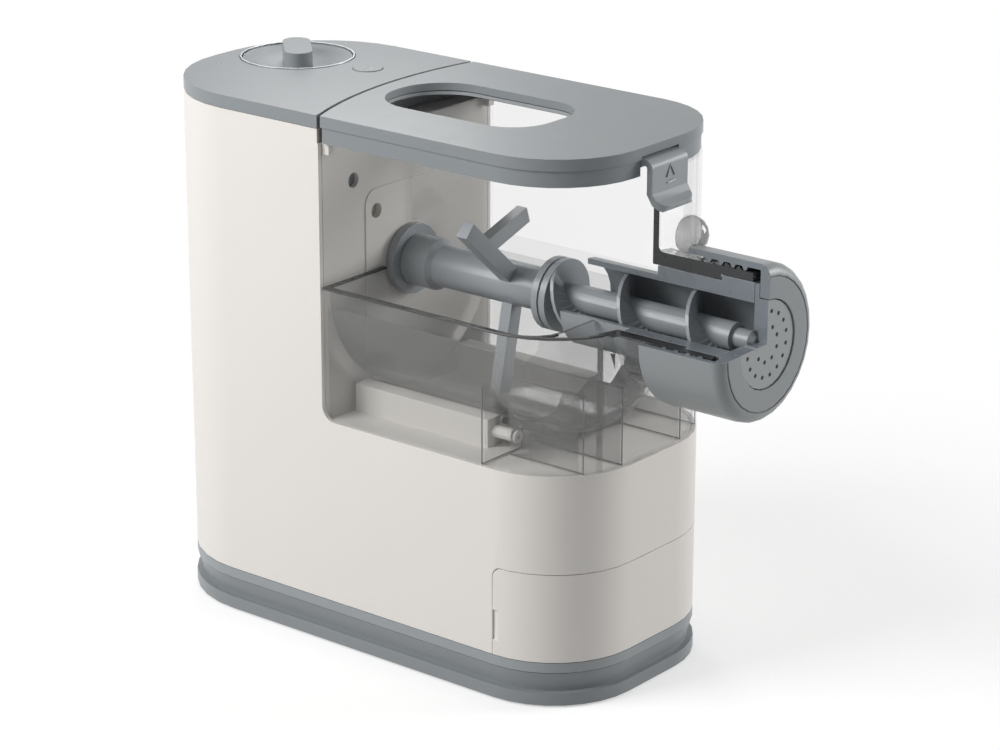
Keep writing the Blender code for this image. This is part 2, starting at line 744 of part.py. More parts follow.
def make_base_tray():
    top = COVE_TOP_Z - GAP
    tray = lofted("base_tray", [
        (-SKIRT_PROUD, BASE_BOTTOM_Z),
        (-SKIRT_PROUD, SKIRT_TOP_Z),
        (GROOVE_INSET, SKIRT_TOP_Z),
        (GROOVE_INSET, GROOVE_TOP_Z),
        (COVE_MIDDLE_INSET, (GROOVE_TOP_Z + top) / 2),
        (COVE_TOP_INSET, top),
        (GROOVE_INSET + BASE_WALL, top),
        (GROOVE_INSET + BASE_WALL, BASE_BOTTOM_Z + BASE_FLOOR),
    ])
    for index, (x, y) in enumerate(foot_places()):
        recess = cylinder(f"foot_recess_{index + 1}", FOOT_RADIUS + GAP, BASE_BOTTOM_Z - OVERRUN,
                          BASE_BOTTOM_Z + FOOT_RECESS + GAP, at=(x, y, 0), steps=PIN_STEPS * 2)
        cut(tray, recess)
    for index, (x, y) in enumerate(base_screw_places()):
        boss = cylinder(f"base_boss_{index + 1}", BASE_BOSS_RADIUS,
                        BASE_BOTTOM_Z + BASE_FLOOR / 2, base_boss_top(), at=(x, y, 0))
        join(tray, boss)
    for index, (x, y) in enumerate(base_screw_places()):
        cut(tray, screw_hole(f"base_screw_hole_{index + 1}", BASE_BOTTOM_Z,
                             base_boss_top() + OVERRUN, "z", (x, y, 0), head=True))
    return tray


def base_boss_top():
    return BODY_BOTTOM_Z - CHASSIS_THICKNESS - GAP


def foot_places():
    return [(x, y) for x in (FOOT_REAR_X, FOOT_FRONT_X) for y in (-FOOT_Y, FOOT_Y)]


def base_screw_places():
    return [(x, y) for x in (BASE_SCREW_REAR_X, BASE_SCREW_FRONT_X)
            for y in (-BASE_SCREW_Y, BASE_SCREW_Y)]


def screw_hole(name, low, high, axis, at, head=False):
    """The space for a screw with its head at the low end."""
    shank = SCREW_RADIUS + GAP
    if not head:
        return cylinder(name, shank, low, high, axis, at, PIN_STEPS)
    wide = SCREW_HEAD_RADIUS + GAP
    seat = low + SCREW_HEAD_HEIGHT + GAP
    profile = [(0, high), (shank, high), (shank, seat), (wide, seat), (wide, low - OVERRUN),
               (0, low - OVERRUN)]
    return turned(name, profile, axis, at, steps=PIN_STEPS)


def screw(name, low, high, axis, at):
    profile = [(0, high), (SCREW_RADIUS, high), (SCREW_RADIUS, low + SCREW_HEAD_HEIGHT),
               (SCREW_HEAD_RADIUS, low + SCREW_HEAD_HEIGHT), (SCREW_HEAD_RADIUS, low), (0, low)]
    return turned(name, profile, axis, at, steps=PIN_STEPS)


def make_chassis_floor():
    under = BODY_BOTTOM_Z - CHASSIS_THICKNESS
    floor = lofted("chassis_floor", [
        (SHELL_WALL, under),
        (SHELL_WALL, COVE_TOP_Z),
        (0, COVE_TOP_Z),
        (0, BODY_BOTTOM_Z),
    ])
    for index, (x, y) in enumerate(base_screw_places()):
        cut(floor, screw_hole(f"chassis_screw_hole_{index + 1}", under - OVERRUN,
                              BODY_BOTTOM_Z - GAP, "z", (x, y, 0)))
    return floor


def make_feet():
    return [cylinder(f"foot_{index + 1}", FOOT_RADIUS, 0, BASE_BOTTOM_Z + FOOT_RECESS,
                     at=(x, y, 0), steps=PIN_STEPS * 2)
            for index, (x, y) in enumerate(foot_places())]


def make_base_screws():
    return [screw(f"base_screw_{index + 1}", BASE_BOTTOM_Z + GAP, BODY_BOTTOM_Z - 2 * GAP, "z",
                  (x, y, 0))
            for index, (x, y) in enumerate(base_screw_places())]


def make_body_shell():
    bottom = BODY_BOTTOM_Z + GAP
    top = CAP_BOTTOM_Z - GAP
    shell = slab("body_shell", [body_outline(), body_outline(SHELL_WALL)], bottom, top)
    side = BODY_WIDTH / 2 + OVERRUN
    end = BODY_LENGTH + OVERRUN
    above = top + OVERRUN
    corner = arc(TOWER_FRONT_X + TOWER_NOTCH_RADIUS, LOWER_TOP_Z + TOWER_NOTCH_RADIUS,
                 TOWER_NOTCH_RADIUS, pi, 3 * pi / 2)
    front_void = [(TOWER_FRONT_X, above)] + corner + [(end, LOWER_TOP_Z), (end, above)]
    cut(shell, slab("chamber_space", [front_void], -side, side, "y"))
    lid_area = seam(SEAM_GAP / 2, -OVERRUN) + [(end, -side), (end, side)]
    cut(shell, slab("lid_space", [lid_area], LID_BOTTOM_Z - GAP, above))
    rear_x = TOWER_FRONT_X + GAP
    ledge_top = LOWER_TOP_Z - DECK_THICKNESS - GAP
    outer = front_outline(SHELL_WALL / 2, rear_x)
    inner = front_outline(SHELL_WALL + LEDGE_DEPTH, rear_x)
    join(shell, slab("deck_ledge", [outer + inner[::-1]], ledge_top - LEDGE_HEIGHT, ledge_top))
    drawer = drawer_side(DRAWER_REAR_X, bottom - OVERRUN, DRAWER_TOP_Z, end)
    cut(shell, slab("drawer_space", [drawer], -side, side, "y"))
    cut(shell, cylinder("gland_hole", GLAND_RADIUS + GAP, -OVERRUN, SHELL_WALL + OVERRUN, "x",
                        (0, 0, GLAND_Z), PIN_STEPS * 2))
    return shell


def drawer_side(rear_x, low, high, end):
    """The drawer front's outline seen from the side, with its round upper rear corner."""
    corner = arc(rear_x + DRAWER_CORNER, high - DRAWER_CORNER, DRAWER_CORNER, pi / 2, pi)
    return [(end, low), (end, high)] + corner + [(rear_x, low)]


def make_rear_cap():
    plate = TOP_Z - CAP_PLATE
    cap = slab("rear_cap", [cap_outline()], CAP_BOTTOM_Z, TOP_Z)
    cut(cap, slab("rear_cap_hollow", [cap_outline(CAP_RIM)], CAP_BOTTOM_Z - OVERRUN, plate))
    for index, (along, across) in enumerate(BOARD_POST_SHARES):
        join(cap, cylinder(f"board_post_{index + 1}", BOARD_POST_RADIUS, BOARD_TOP_Z + GAP,
                           TOP_Z - CAP_PLATE / 2,
                           at=(along * BOARD_FRONT_X, across * BODY_WIDTH, 0)))
    above = TOP_Z + OVERRUN
    below = plate - OVERRUN
    cut(cap,
        cylinder("dial_hole", dial_ring_radius() + GAP, below, above, at=(DIAL_X, DIAL_Y, 0),
                 steps=ROUND_STEPS),
        cylinder("button_hole", BUTTON_RADIUS + GAP, below, above, at=(BUTTON_X, BUTTON_Y, 0),
                 steps=PIN_STEPS * 2),
        cylinder("lens_hole", LENS_RADIUS + GAP, below, above, at=(LENS_X, LENS_Y, 0),
                 steps=PIN_STEPS))
    return cap


def dial_ring_radius():
    return DIAL_RADIUS + DIAL_GAP + DIAL_RING_WALL


def make_dial_ring():
    inner = DIAL_RADIUS + DIAL_GAP
    outer = dial_ring_radius()
    top = TOP_Z + DIAL_RING_PROUD
    low = top - DIAL_RING_HEIGHT
    return turned("dial_ring", [(outer, top), (outer, low), (inner, low), (inner, top)],
                  at=(DIAL_X, DIAL_Y, 0), ring=True)


def dish_profile(lift):
    """Radius and height pairs over the dish's hollow face, from its middle to its rim."""
    rim = TOP_Z - DIAL_RIM_BELOW_TOP
    steps = CORNER_STEPS // 2
    points = [(0, rim - DIAL_DEPTH + lift)]
    for index in range(steps + 1):
        share = index / steps
        radius = DIAL_FLAT_RADIUS + (DIAL_RADIUS - DIAL_FLAT_RADIUS) * share
        points.append((radius, rim - DIAL_DEPTH * (1 - share ** 2) + lift))
    return points


def make_dial_dish():
    upper = dish_profile(0)
    lower = [(radius, height - DIAL_THICKNESS) for radius, height in upper[:0:-1]]
    switch_top = BOARD_TOP_Z + GAP + PROGRAM_SWITCH_HEIGHT
    foot = switch_top - PROGRAM_SWITCH_HEIGHT / 2
    stem = [(DIAL_SHAFT_RADIUS, lower[-1][1]), (DIAL_SHAFT_RADIUS, foot), (0, foot)]
    return turned("dial_dish", upper + lower + stem, at=(DIAL_X, DIAL_Y, 0))


def make_knob_handle():
    low = TOP_Z - DIAL_DEPTH - DIAL_THICKNESS
    bar = slab("knob_handle", [stadium(KNOB_LENGTH, KNOB_WIDTH, KNOB_ANGLE)],
               low, KNOB_TOP_Z, at=(DIAL_X, DIAL_Y, 0))
    rim = TOP_Z + OVERRUN
    profile = dish_profile(GAP) + [(DIAL_RADIUS, low - OVERRUN), (0, low - OVERRUN)]
    cut(bar, turned("dish_space", profile, at=(DIAL_X, DIAL_Y, 0)))
    return bar


def make_start_button():
    top = TOP_Z + BUTTON_PROUD
    flange_top = TOP_Z - CAP_PLATE - GAP
    flange_low = flange_top - BUTTON_FLANGE_HEIGHT
    foot = BOARD_TOP_Z + GAP + START_SWITCH_HEIGHT + BUTTON_TRAVEL + GAP
    wide = BUTTON_RADIUS + BUTTON_FLANGE
    profile = [(0, top), (BUTTON_RADIUS, top), (BUTTON_RADIUS, flange_top), (wide, flange_top),
               (wide, flange_low), (BUTTON_STEM_RADIUS, flange_low), (BUTTON_STEM_RADIUS, foot),
               (0, foot)]
    return turned("start_button", profile, at=(BUTTON_X, BUTTON_Y, 0), steps=PIN_STEPS * 2)


def make_lens():
    return cylinder("indicator_lens", LENS_RADIUS, BOARD_TOP_Z + GAP, TOP_Z,
                    at=(LENS_X, LENS_Y, 0), steps=PIN_STEPS)


def make_board():
    loop = [(BOARD_FRONT_X, BODY_WIDTH / 2 - SHELL_WALL - BOARD_INSET)]
    loop += rear_corners(SHELL_WALL + BOARD_INSET)
    loop += [(BOARD_FRONT_X, -loop[0][1])]
    return slab("control_board", [loop], BOARD_TOP_Z - BOARD_THICKNESS, BOARD_TOP_Z)


def make_switches():
    half = PROGRAM_SWITCH_SIZE / 2
    low = BOARD_TOP_Z + GAP
    program = box("program_switch", (-half, -half, low), (half, half, low + PROGRAM_SWITCH_HEIGHT),
                  at=(DIAL_X, DIAL_Y, 0))
    cut(program, cylinder("program_switch_bore", DIAL_SHAFT_RADIUS + GAP,
                          low + PROGRAM_SWITCH_HEIGHT / 2 - GAP,
                          low + PROGRAM_SWITCH_HEIGHT + OVERRUN, at=(DIAL_X, DIAL_Y, 0)))
    half = START_SWITCH_SIZE / 2
    start = box("start_switch", (-half, -half, low), (half, half, low + START_SWITCH_HEIGHT),
                at=(BUTTON_X, BUTTON_Y, 0))
    return program, start


# Tower wall, lid and latch


def make_tower_front():
    side = BODY_WIDTH / 2 - SHELL_WALL - GAP
    front = TOWER_FRONT_X
    rear = front - TOWER_WALL
    shelf_low = TOWER_SHELF_TOP_Z - TOWER_SHELF_THICKNESS
    wall = box("tower_front", (rear, -side, TOWER_WALL_BOTTOM_Z), (front, side, TOWER_SHELF_TOP_Z))
    inset = SHELL_WALL + GAP
    back = seam(SEAM_GAP / 2 + TOWER_FLANGE, inset)
    middle = (rear + front) / 2
    shelf = back + [(middle, -side), (middle, side)]
    join(wall, slab("tower_shelf", [shelf], shelf_low, TOWER_SHELF_TOP_Z))
    strip = back + seam(SEAM_GAP / 2, inset)[::-1]
    join(wall, slab("tower_flange", [strip], shelf_low, CAP_BOTTOM_Z - GAP))
    arch = ([(PANEL_HALF_WIDTH, PANEL_BOTTOM_Z)]
            + arc(PANEL_HALF_WIDTH - PANEL_RADIUS, PANEL_TOP_Z - PANEL_RADIUS, PANEL_RADIUS,
                  0, pi / 2, CORNER_STEPS // 2)
            + arc(PANEL_RADIUS - PANEL_HALF_WIDTH, PANEL_TOP_Z - PANEL_RADIUS, PANEL_RADIUS,
                  pi / 2, pi, CORNER_STEPS // 2)
            + [(-PANEL_HALF_WIDTH, PANEL_BOTTOM_Z)])
    join(wall, slab("raised_panel", [arch], middle, front + PANEL_PROUD, "x"))
    for index, sign in enumerate((-1, 1)):
        near, far = sorted((sign * side, sign * (side - LUG_WIDTH)))
        top = LID_BOTTOM_Z - GAP
        join(wall, box(f"rest_lug_{index + 1}", (middle, near, top - LUG_HEIGHT),
                       (front + LUG_LENGTH, far, top)))
    through = (rear - OVERRUN, front + OVERRUN)
    cut(wall,
        cylinder("seal_seat", SEAL_RADIUS + GAP, *through, "x", DRIVE_AXIS, PIN_STEPS * 2),
        cylinder("safety_hole", WALL_HOLE_RADIUS, *through, "x",
                 (0, SAFETY_HOLE_Y, SAFETY_HOLE_Z)),
        cylinder("drain_hole", WALL_HOLE_RADIUS, *through, "x", (0, DRAIN_HOLE_Y, DRAIN_HOLE_Z)))
    return wall


def make_safety_switch():
    side = SAFETY_SWITCH_WIDTH / 2
    top = SAFETY_SWITCH_HEIGHT / 2
    front = TOWER_FRONT_X - TOWER_WALL - GAP
    return box("safety_switch", (front - SAFETY_SWITCH_LENGTH, -side, -top), (front, side, top),
               at=(0, SAFETY_HOLE_Y, SAFETY_HOLE_Z))


def make_lid():
    plate = TOP_Z - LID_PLATE
    lid = slab("lid", [lid_outline()], LID_BAND_Z, TOP_Z)
    inner = LID_STEP + LID_RIM
    join(lid, slab("lid_lower_band", [lid_outline(LID_STEP)], LID_BOTTOM_Z, LID_BAND_Z + LID_STEP))
    wall = WINDOW_WALL + insert_space()
    cut(lid, slab("lid_hollow", [lid_outline(inner), window_outline(wall)],
                  LID_BOTTOM_Z - OVERRUN, plate))
    notch_top = plate - GAP
    half = LATCH_HALF_WIDTH + LATCH_SIDE_GAP
    lug = half + LATCH_LUG_WIDTH
    lug_front = BODY_LENGTH - LID_STEP - LID_RIM / 2
    for index, sign in enumerate((-1, 1)):
        near, far = sorted((sign * half, sign * lug))
        join(lid, box(f"latch_lug_{index + 1}",
                      (LATCH_NOTCH_REAR_X, near, plate - LATCH_LUG_HEIGHT),
                      (lug_front, far, plate + OVERRUN)))
    cut(lid, box("latch_notch", (LATCH_NOTCH_REAR_X, -half, LID_BOTTOM_Z - OVERRUN),
                 (BODY_LENGTH + OVERRUN, half, notch_top)))
    cut(lid, cylinder("latch_pin_hole", LATCH_PIN_RADIUS + GAP, -lug - OVERRUN, lug + OVERRUN, "y",
                      (LATCH_PIN_X, 0, LATCH_PIN_Z), PIN_STEPS))
    cut(lid, slab("insert_space", [window_outline(insert_space())],
                  LID_BOTTOM_Z - OVERRUN, plate))
    cut(lid, slab("below_window_wall", [window_outline(wall + OVERRUN)],
                  LID_BOTTOM_Z - OVERRUN, INSERT_BOTTOM_Z))
    cut(lid, slab("window_opening", [window_outline()], plate - OVERRUN, TOP_Z + OVERRUN))
    return lid


def insert_space():
    """How far the space for the insert ring reaches past the window's edge."""
    return INSERT_RECESS + INSERT_WALL + GAP


def make_lid_insert():
    top = TOP_Z - LID_PLATE - GAP
    loops = [window_outline(INSERT_RECESS + INSERT_WALL), window_outline(INSERT_RECESS)]
    return slab("lid_insert", loops, INSERT_BOTTOM_Z, top)


def make_latch():
    half = LATCH_HALF_WIDTH
    bend = arc(LATCH_FACE_X - LATCH_BEND, LATCH_TOP_Z - LATCH_BEND, LATCH_BEND, pi / 2, 0,
               CORNER_STEPS // 2)
    path = ([(LATCH_PIN_X, LATCH_TOP_Z)] + bend
            + [(LATCH_FACE_X, LATCH_LIP_START_Z), LATCH_LIP_MIDDLE, LATCH_LIP_END])
    latch = slab("latch", [ribbon(path, LATCH_THICKNESS)], -half, half, "y")
    join(latch, cylinder("latch_knuckle", LATCH_KNUCKLE_RADIUS, -half, half, "y",
                         (LATCH_PIN_X, 0, LATCH_PIN_Z)))
    reach = LATCH_LIP_END[0] - GAP
    edge = arc(half - LATCH_CORNER, reach - LATCH_CORNER, LATCH_CORNER, 0, pi / 2, CORNER_STEPS // 2)
    outline = [(x, y) for y, x in edge] + [(x, -y) for y, x in edge[::-1]]
    rear = LATCH_PIN_X - LATCH_KNUCKLE_RADIUS - OVERRUN
    outline += [(rear, -half - OVERRUN), (rear, half + OVERRUN)]
    keep(latch, slab("latch_limit", [outline], LATCH_LIP_END[1] - LATCH_CORNER,
                     LATCH_TOP_Z + LATCH_THICKNESS))
    cut(latch, cylinder("latch_bore", LATCH_PIN_RADIUS + GAP, -half - OVERRUN, half + OVERRUN, "y",
                        (LATCH_PIN_X, 0, LATCH_PIN_Z), PIN_STEPS))
    pivot_at(latch, (LATCH_PIN_X, 0, LATCH_PIN_Z))
    return latch


def make_latch_pin():
    reach = LATCH_HALF_WIDTH + LATCH_SIDE_GAP + LATCH_LUG_WIDTH
    return cylinder("latch_pin", LATCH_PIN_RADIUS, -reach, reach, "y",
                    (LATCH_PIN_X, 0, LATCH_PIN_Z), PIN_STEPS)


# Deck, chamber and front panel


def make_deck():
    rear_x = TOWER_FRONT_X + GAP
    deck = slab("deck", [front_outline(SHELL_WALL + GAP, rear_x)],
                LOWER_TOP_Z - DECK_THICKNESS, LOWER_TOP_Z)
    middle = LOWER_TOP_Z - DECK_THICKNESS / 2
    ridge_rear_x = CHAMBER_BACK_X + CHAMBER_WALL + GAP
    for index, sign in enumerate((-1, 1)):
        near, far = sorted((sign * RIDGE_INNER_Y, sign * RIDGE_OUTER_Y))
        join(deck, box(f"deck_ridge_{index + 1}", (ridge_rear_x, near, middle),
                       (RIDGE_FRONT_X, far, RIDGE_TOP_Z)))
    cut(deck, cylinder("trough_space", TROUGH_RADIUS + 2 * GAP, TOWER_FRONT_X - OVERRUN,
                       TROUGH_FRONT_X + OVERRUN, "x", DRIVE_AXIS, TROUGH_STEPS))
    return deck


def make_pegs():
    low = RIDGE_FRONT_X + GAP
    high = low + PEG_LENGTH
    pegs = []
    for index, sign in enumerate((-1, 1)):
        at = (0, sign * PEG_Y, PEG_Z)
        peg = cylinder(f"locating_peg_{index + 1}", PEG_RADIUS, low, high, "x", at)
        cut(peg, cylinder(f"peg_bore_{index + 1}", PEG_BORE_RADIUS, high - PEG_LENGTH / 2,
                          high + OVERRUN, "x", at, PIN_STEPS))
        pegs.append(peg)
    return pegs


def pad_outline(inner, outer, half_angle):
    """A curved strip below the axis, in y and z from the axis."""
    down = -pi / 2
    return (arc(0, 0, outer, down - half_angle, down + half_angle)
            + arc(0, 0, inner, down + half_angle, down - half_angle))


def make_cradle_pad():
    inner = TROUGH_RADIUS + GAP
    low = RIDGE_FRONT_X + 2 * GAP
    outline = pad_outline(inner, inner + PAD_THICKNESS, PAD_HALF_ANGLE)
    return slab("cradle_pad", [outline], low, low + PAD_LENGTH, "x", DRIVE_AXIS)


def trough_form(name, inset, rear_x):
    """The trough's round body, drawn in by inset, with its rounded front edge."""
    radius = TROUGH_RADIUS - inset
    front = TROUGH_FRONT_X - inset
    rounding = TROUGH_ROUNDING - inset
    edge = arc(front - rounding, radius - rounding, rounding, 0, pi / 2, CORNER_STEPS // 2)
    profile = [(0, front)] + [(across, along) for along, across in edge] + [(radius, rear_x),
                                                                          (0, rear_x)]
    return turned(name, profile, "x", DRIVE_AXIS, steps=TROUGH_STEPS)


def make_ribs():
    """The plates that stand under the trough, as low and high corners."""
    half = RIB_THICKNESS / 2
    low = LOWER_TOP_Z - OVERRUN
    outside = BODY_WIDTH / 2 - CHAMBER_WALL / 2
    front = BODY_LENGTH - PANEL_WALL - GAP
    ribs = []
    for index, sign in enumerate((-1, 1)):
        near, far = sorted((sign * CROSS_RIB_INNER_Y, sign * outside))
        ribs.append(box(f"cross_rib_{index + 1}", (CROSS_RIB_X - half, near, low - OVERRUN),
                        (CROSS_RIB_X + half, far, RIB_TOP_Z)))
        for name, y in (("inner", INNER_RIB_Y), ("outer", OUTER_RIB_Y)):
            reach = front if y < PANEL_SIDE_Y else BODY_LENGTH
            ribs.append(box(f"{name}_rib_{index + 1}",
                            (CROSS_RIB_X, sign * y - half, low - OVERRUN),
                            (reach, sign * y + half, RIB_TOP_Z)))
    return ribs


def make_chamber():
    low = LOWER_TOP_Z + GAP
    inner_rear = CHAMBER_BACK_X + CHAMBER_WALL
    chamber = slab("mixing_chamber", [front_outline(0, CHAMBER_BACK_X)], low, CHAMBER_TOP_Z)
    space = slab("chamber_space", [front_outline(CHAMBER_WALL, inner_rear)],
                 low - OVERRUN, CHAMBER_TOP_Z + OVERRUN)
    middle = CHAMBER_WALL / 2
    trough = trough_form("trough", 0, CHAMBER_BACK_X + middle)
    cut(trough, trough_form("trough_inside", CHAMBER_WALL, CHAMBER_BACK_X - OVERRUN))
    side = BODY_WIDTH / 2 + OVERRUN
    cut(trough, box("above_trough", (CHAMBER_BACK_X - OVERRUN, -side, AXIS_Z),
                    (BODY_LENGTH, side, CHAMBER_TOP_Z + OVERRUN)))
    cut(space, trough)
    for rib in make_ribs():
        cut(rib, trough_form("rib_limit", middle, CHAMBER_BACK_X - OVERRUN))
        cut(space, rib)
    cut(chamber, space)
    inner = CROSS_RIB_X + TROUGH_ROUNDING
    side = PANEL_SIDE_Y + GAP
    panel_rear = BODY_LENGTH - FRONT_RADIUS
    space = box("front_panel_space", (panel_rear, -side, low - OVERRUN),
                (BODY_LENGTH + OVERRUN, side, CHAMBER_TOP_Z + OVERRUN))
    cut(space, slab("behind_front_panel",
                    [front_outline(PANEL_WALL + GAP, panel_rear - OVERRUN)],
                    low - 2 * OVERRUN, CHAMBER_TOP_Z + 2 * OVERRUN))
    cut(chamber, space)
    clearance = 2 * GAP
    cut(chamber,
        cylinder("barrel_hole", BARREL_RADIUS + clearance, inner, BODY_LENGTH, "x", DRIVE_AXIS,
                 ROUND_STEPS),
        cylinder("coupling_hole", COUPLING_HOLE_RADIUS, CHAMBER_BACK_X - OVERRUN,
                 inner_rear + OVERRUN, "x", DRIVE_AXIS, ROUND_STEPS))
    pad_inner = TROUGH_RADIUS - GAP
    pad_outer = TROUGH_RADIUS + PAD_THICKNESS + 2 * GAP
    pad_angle = PAD_HALF_ANGLE + 2 * GAP / TROUGH_RADIUS
    pad_space = pad_outline(TROUGH_RADIUS, pad_outer, pad_angle)
    cut(chamber, slab("pad_space", [pad_space], RIDGE_FRONT_X,
                      RIDGE_FRONT_X + PAD_LENGTH + 3 * GAP, "x", DRIVE_AXIS))
    for index, sign in enumerate((-1, 1)):
        cut(chamber, cylinder(f"peg_hole_{index + 1}", PEG_RADIUS + GAP,
                              CROSS_RIB_X - OVERRUN, RIDGE_FRONT_X + PEG_LENGTH + 2 * GAP, "x",
                              (0, sign * PEG_Y, PEG_Z)))
    lug_y = BODY_WIDTH / 2 - SHELL_WALL - LUG_WIDTH - 2 * GAP
    lug_x = TOWER_FRONT_X + LUG_LENGTH + 2 * GAP
    cut(chamber, box("far_lug_space",
                     (CHAMBER_BACK_X - OVERRUN, lug_y, LID_BOTTOM_Z - LUG_HEIGHT - 3 * GAP),
                     (lug_x, BODY_WIDTH / 2 - CHAMBER_WALL, CHAMBER_TOP_Z + OVERRUN)))
    centre_x = TOWER_FRONT_X + TOWER_NOTCH_RADIUS
    centre_z = LOWER_TOP_Z + TOWER_NOTCH_RADIUS
    behind = CHAMBER_BACK_X - OVERRUN
    corner = arc(centre_x, centre_z, TOWER_NOTCH_RADIUS - 2 * GAP, pi, 3 * pi / 2)
    corner += [(centre_x, low - OVERRUN), (behind, low - OVERRUN), (behind, centre_z)]
    for index, sign in enumerate((-1, 1)):
        near, far = sorted((sign * (BODY_WIDTH / 2 - SHELL_WALL - GAP),
                            sign * (BODY_WIDTH / 2 + OVERRUN)))
        cut(chamber, slab(f"lower_corner_{index + 1}", [corner], near, far, "y"))
    cut(chamber, section)
    return chamber


def make_front_panel():
    low = LOWER_TOP_Z + GAP
    wall_rear = BODY_LENGTH - FRONT_RADIUS
    panel = slab("front_panel", [front_outline(0, wall_rear)], low, CHAMBER_TOP_Z)
    for index, sign in enumerate((-1, 1)):
        join(panel, ball(f"panel_grip_{index + 1}", GRIP_RADIUS, (GRIP_X, sign * GRIP_Y, GRIP_Z)))
    cut(panel, slab("panel_inside", [front_outline(PANEL_WALL, wall_rear - OVERRUN)],
                    low - OVERRUN, CHAMBER_TOP_Z + OVERRUN))
    side = BODY_WIDTH / 2 + OVERRUN
    for index, sign in enumerate((-1, 1)):
        near, far = sorted((sign * PANEL_SIDE_Y, sign * side))
        cut(panel, box(f"panel_side_{index + 1}",
                       (wall_rear - OVERRUN, near, low - OVERRUN),
                       (BODY_LENGTH + OVERRUN, far, CHAMBER_TOP_Z + OVERRUN)))
    root = BODY_LENGTH - PANEL_WALL / 2
    face = BODY_LENGTH
    fillet = arc(face + COLLAR_FILLET, COLLAR_RADIUS + COLLAR_FILLET, COLLAR_FILLET,
                 pi, 3 * pi / 2, CORNER_STEPS // 2)
    profile = [(0, COLLAR_FRONT_X), (COLLAR_RADIUS, COLLAR_FRONT_X)]
    profile += [(across, along) for along, across in fillet[::-1]]
    profile += [(COLLAR_RADIUS + COLLAR_FILLET, root), (0, root)]
    join(panel, turned("collar", profile, "x", DRIVE_AXIS))
    cut(panel,
        cylinder("collar_bore", COLLAR_BORE, BODY_LENGTH - PANEL_WALL - OVERRUN,
                 COLLAR_FRONT_X + OVERRUN, "x", DRIVE_AXIS, ROUND_STEPS),
        cylinder("collar_counterbore", COLLAR_COUNTERBORE, COLLAR_STEP_X,
                 COLLAR_FRONT_X + OVERRUN, "x", DRIVE_AXIS, ROUND_STEPS))
    sink = THREAD_HEIGHT / 2
    root_width = THREAD_ROOT + (THREAD_ROOT - THREAD_TIP) * sink / THREAD_HEIGHT
    for index in range(THREAD_STARTS):
        phase = 2 * pi * (index / THREAD_STARTS + 1 / (2 * ROUND_STEPS))
        join(panel, thread(f"collar_thread_{index + 1}", root_width, THREAD_TIP,
                           COLLAR_RADIUS - sink, COLLAR_RADIUS + THREAD_HEIGHT,
                           thread_lead(), THREAD_LENGTH / thread_lead(), THREAD_START_X, phase,
                           ROUND_STEPS))
    cut(panel, section)
    return panel


def thread_lead():
    return THREAD_PITCH * THREAD_STARTS


# Outlet


def make_barrel():
    collar_fit = COLLAR_BORE - GAP
    flange = COLLAR_COUNTERBORE - GAP
    step_x = COLLAR_STEP_X + GAP
    profile = [(flange, BARREL_FRONT_X), (flange, step_x), (collar_fit, step_x),
               (collar_fit, BARREL_NECK_X), (BARREL_RADIUS, BARREL_NECK_X),
               (BARREL_RADIUS, BARREL_REAR_X), (BARREL_BORE, BARREL_REAR_X),
               (BARREL_BORE, BARREL_FRONT_X)]
    barrel = turned("extrusion_barrel", profile, "x", DRIVE_AXIS, ring=True)
    cut(barrel, section)
    return barrel


def disc_body(name, low, axis, at):
    """A shaping disc lying from low along an axis: flange, boss and two rings of holes."""
    flange = COLLAR_COUNTERBORE - 2 * GAP
    shoulder = low + DISC_FLANGE_THICKNESS
    top = low + NUT_FRONT_X - DISC_SHY - disc_rear_x()
    bore = AUGER_NOSE_RADIUS + DISC_CENTRE_CLEARANCE
    depth = AUGER_NOSE_X + DISC_CENTRE_CLEARANCE - disc_rear_x()
    profile = [(0, top), (DISC_BOSS_RADIUS, top), (DISC_BOSS_RADIUS, shoulder),
               (flange, shoulder), (flange, low), (bore, low), (bore, low + depth),
               (0, low + depth)]
    disc = turned(name, profile, axis, at)
    for share, count in zip(DISC_HOLE_RING_SHARES, DISC_HOLE_COUNTS):
        reach = DISC_BOSS_RADIUS * share
        for index in range(count):
            angle = 2 * pi * (index + 1 / 2) / count
            spot = Vector((reach * cos(angle), reach * sin(angle), 0))
            moved = Vector(at) + TURNS[axis].to_3x3() @ spot
            cut(disc, cylinder(f"{name}_hole_{count}_{index + 1}", DISC_HOLE_RADIUS,
                               low - OVERRUN, top + OVERRUN, axis, moved, 6))
    return disc


def disc_rear_x():
    return BARREL_FRONT_X + DISC_FLANGE_SHY


def make_shaping_disc():
    disc = disc_body("shaping_disc", disc_rear_x(), "x", DRIVE_AXIS)
    cut(disc, section)
    return disc


def make_spare_discs():
    low = BODY_BOTTOM_Z + GAP + DRAWER_TRAY_FLOOR + GAP
    discs = []
    flange = COLLAR_COUNTERBORE - 2 * GAP
    shoulder = low + DISC_FLANGE_THICKNESS
    top = low + NUT_FRONT_X - DISC_SHY - disc_rear_x()
    profile = [(0, top), (DISC_BOSS_RADIUS, top), (DISC_BOSS_RADIUS, shoulder),
               (flange, shoulder), (flange, low), (0, low)]
    for index in range(2):
        x = BODY_LENGTH - SPARE_DISC_SHY - SPARE_DISC_PITCH * index
        discs.append(turned(f"spare_disc_{index + 1}", profile, at=(x, 0, 0),
                            steps=PIN_STEPS * 2))
    return discs


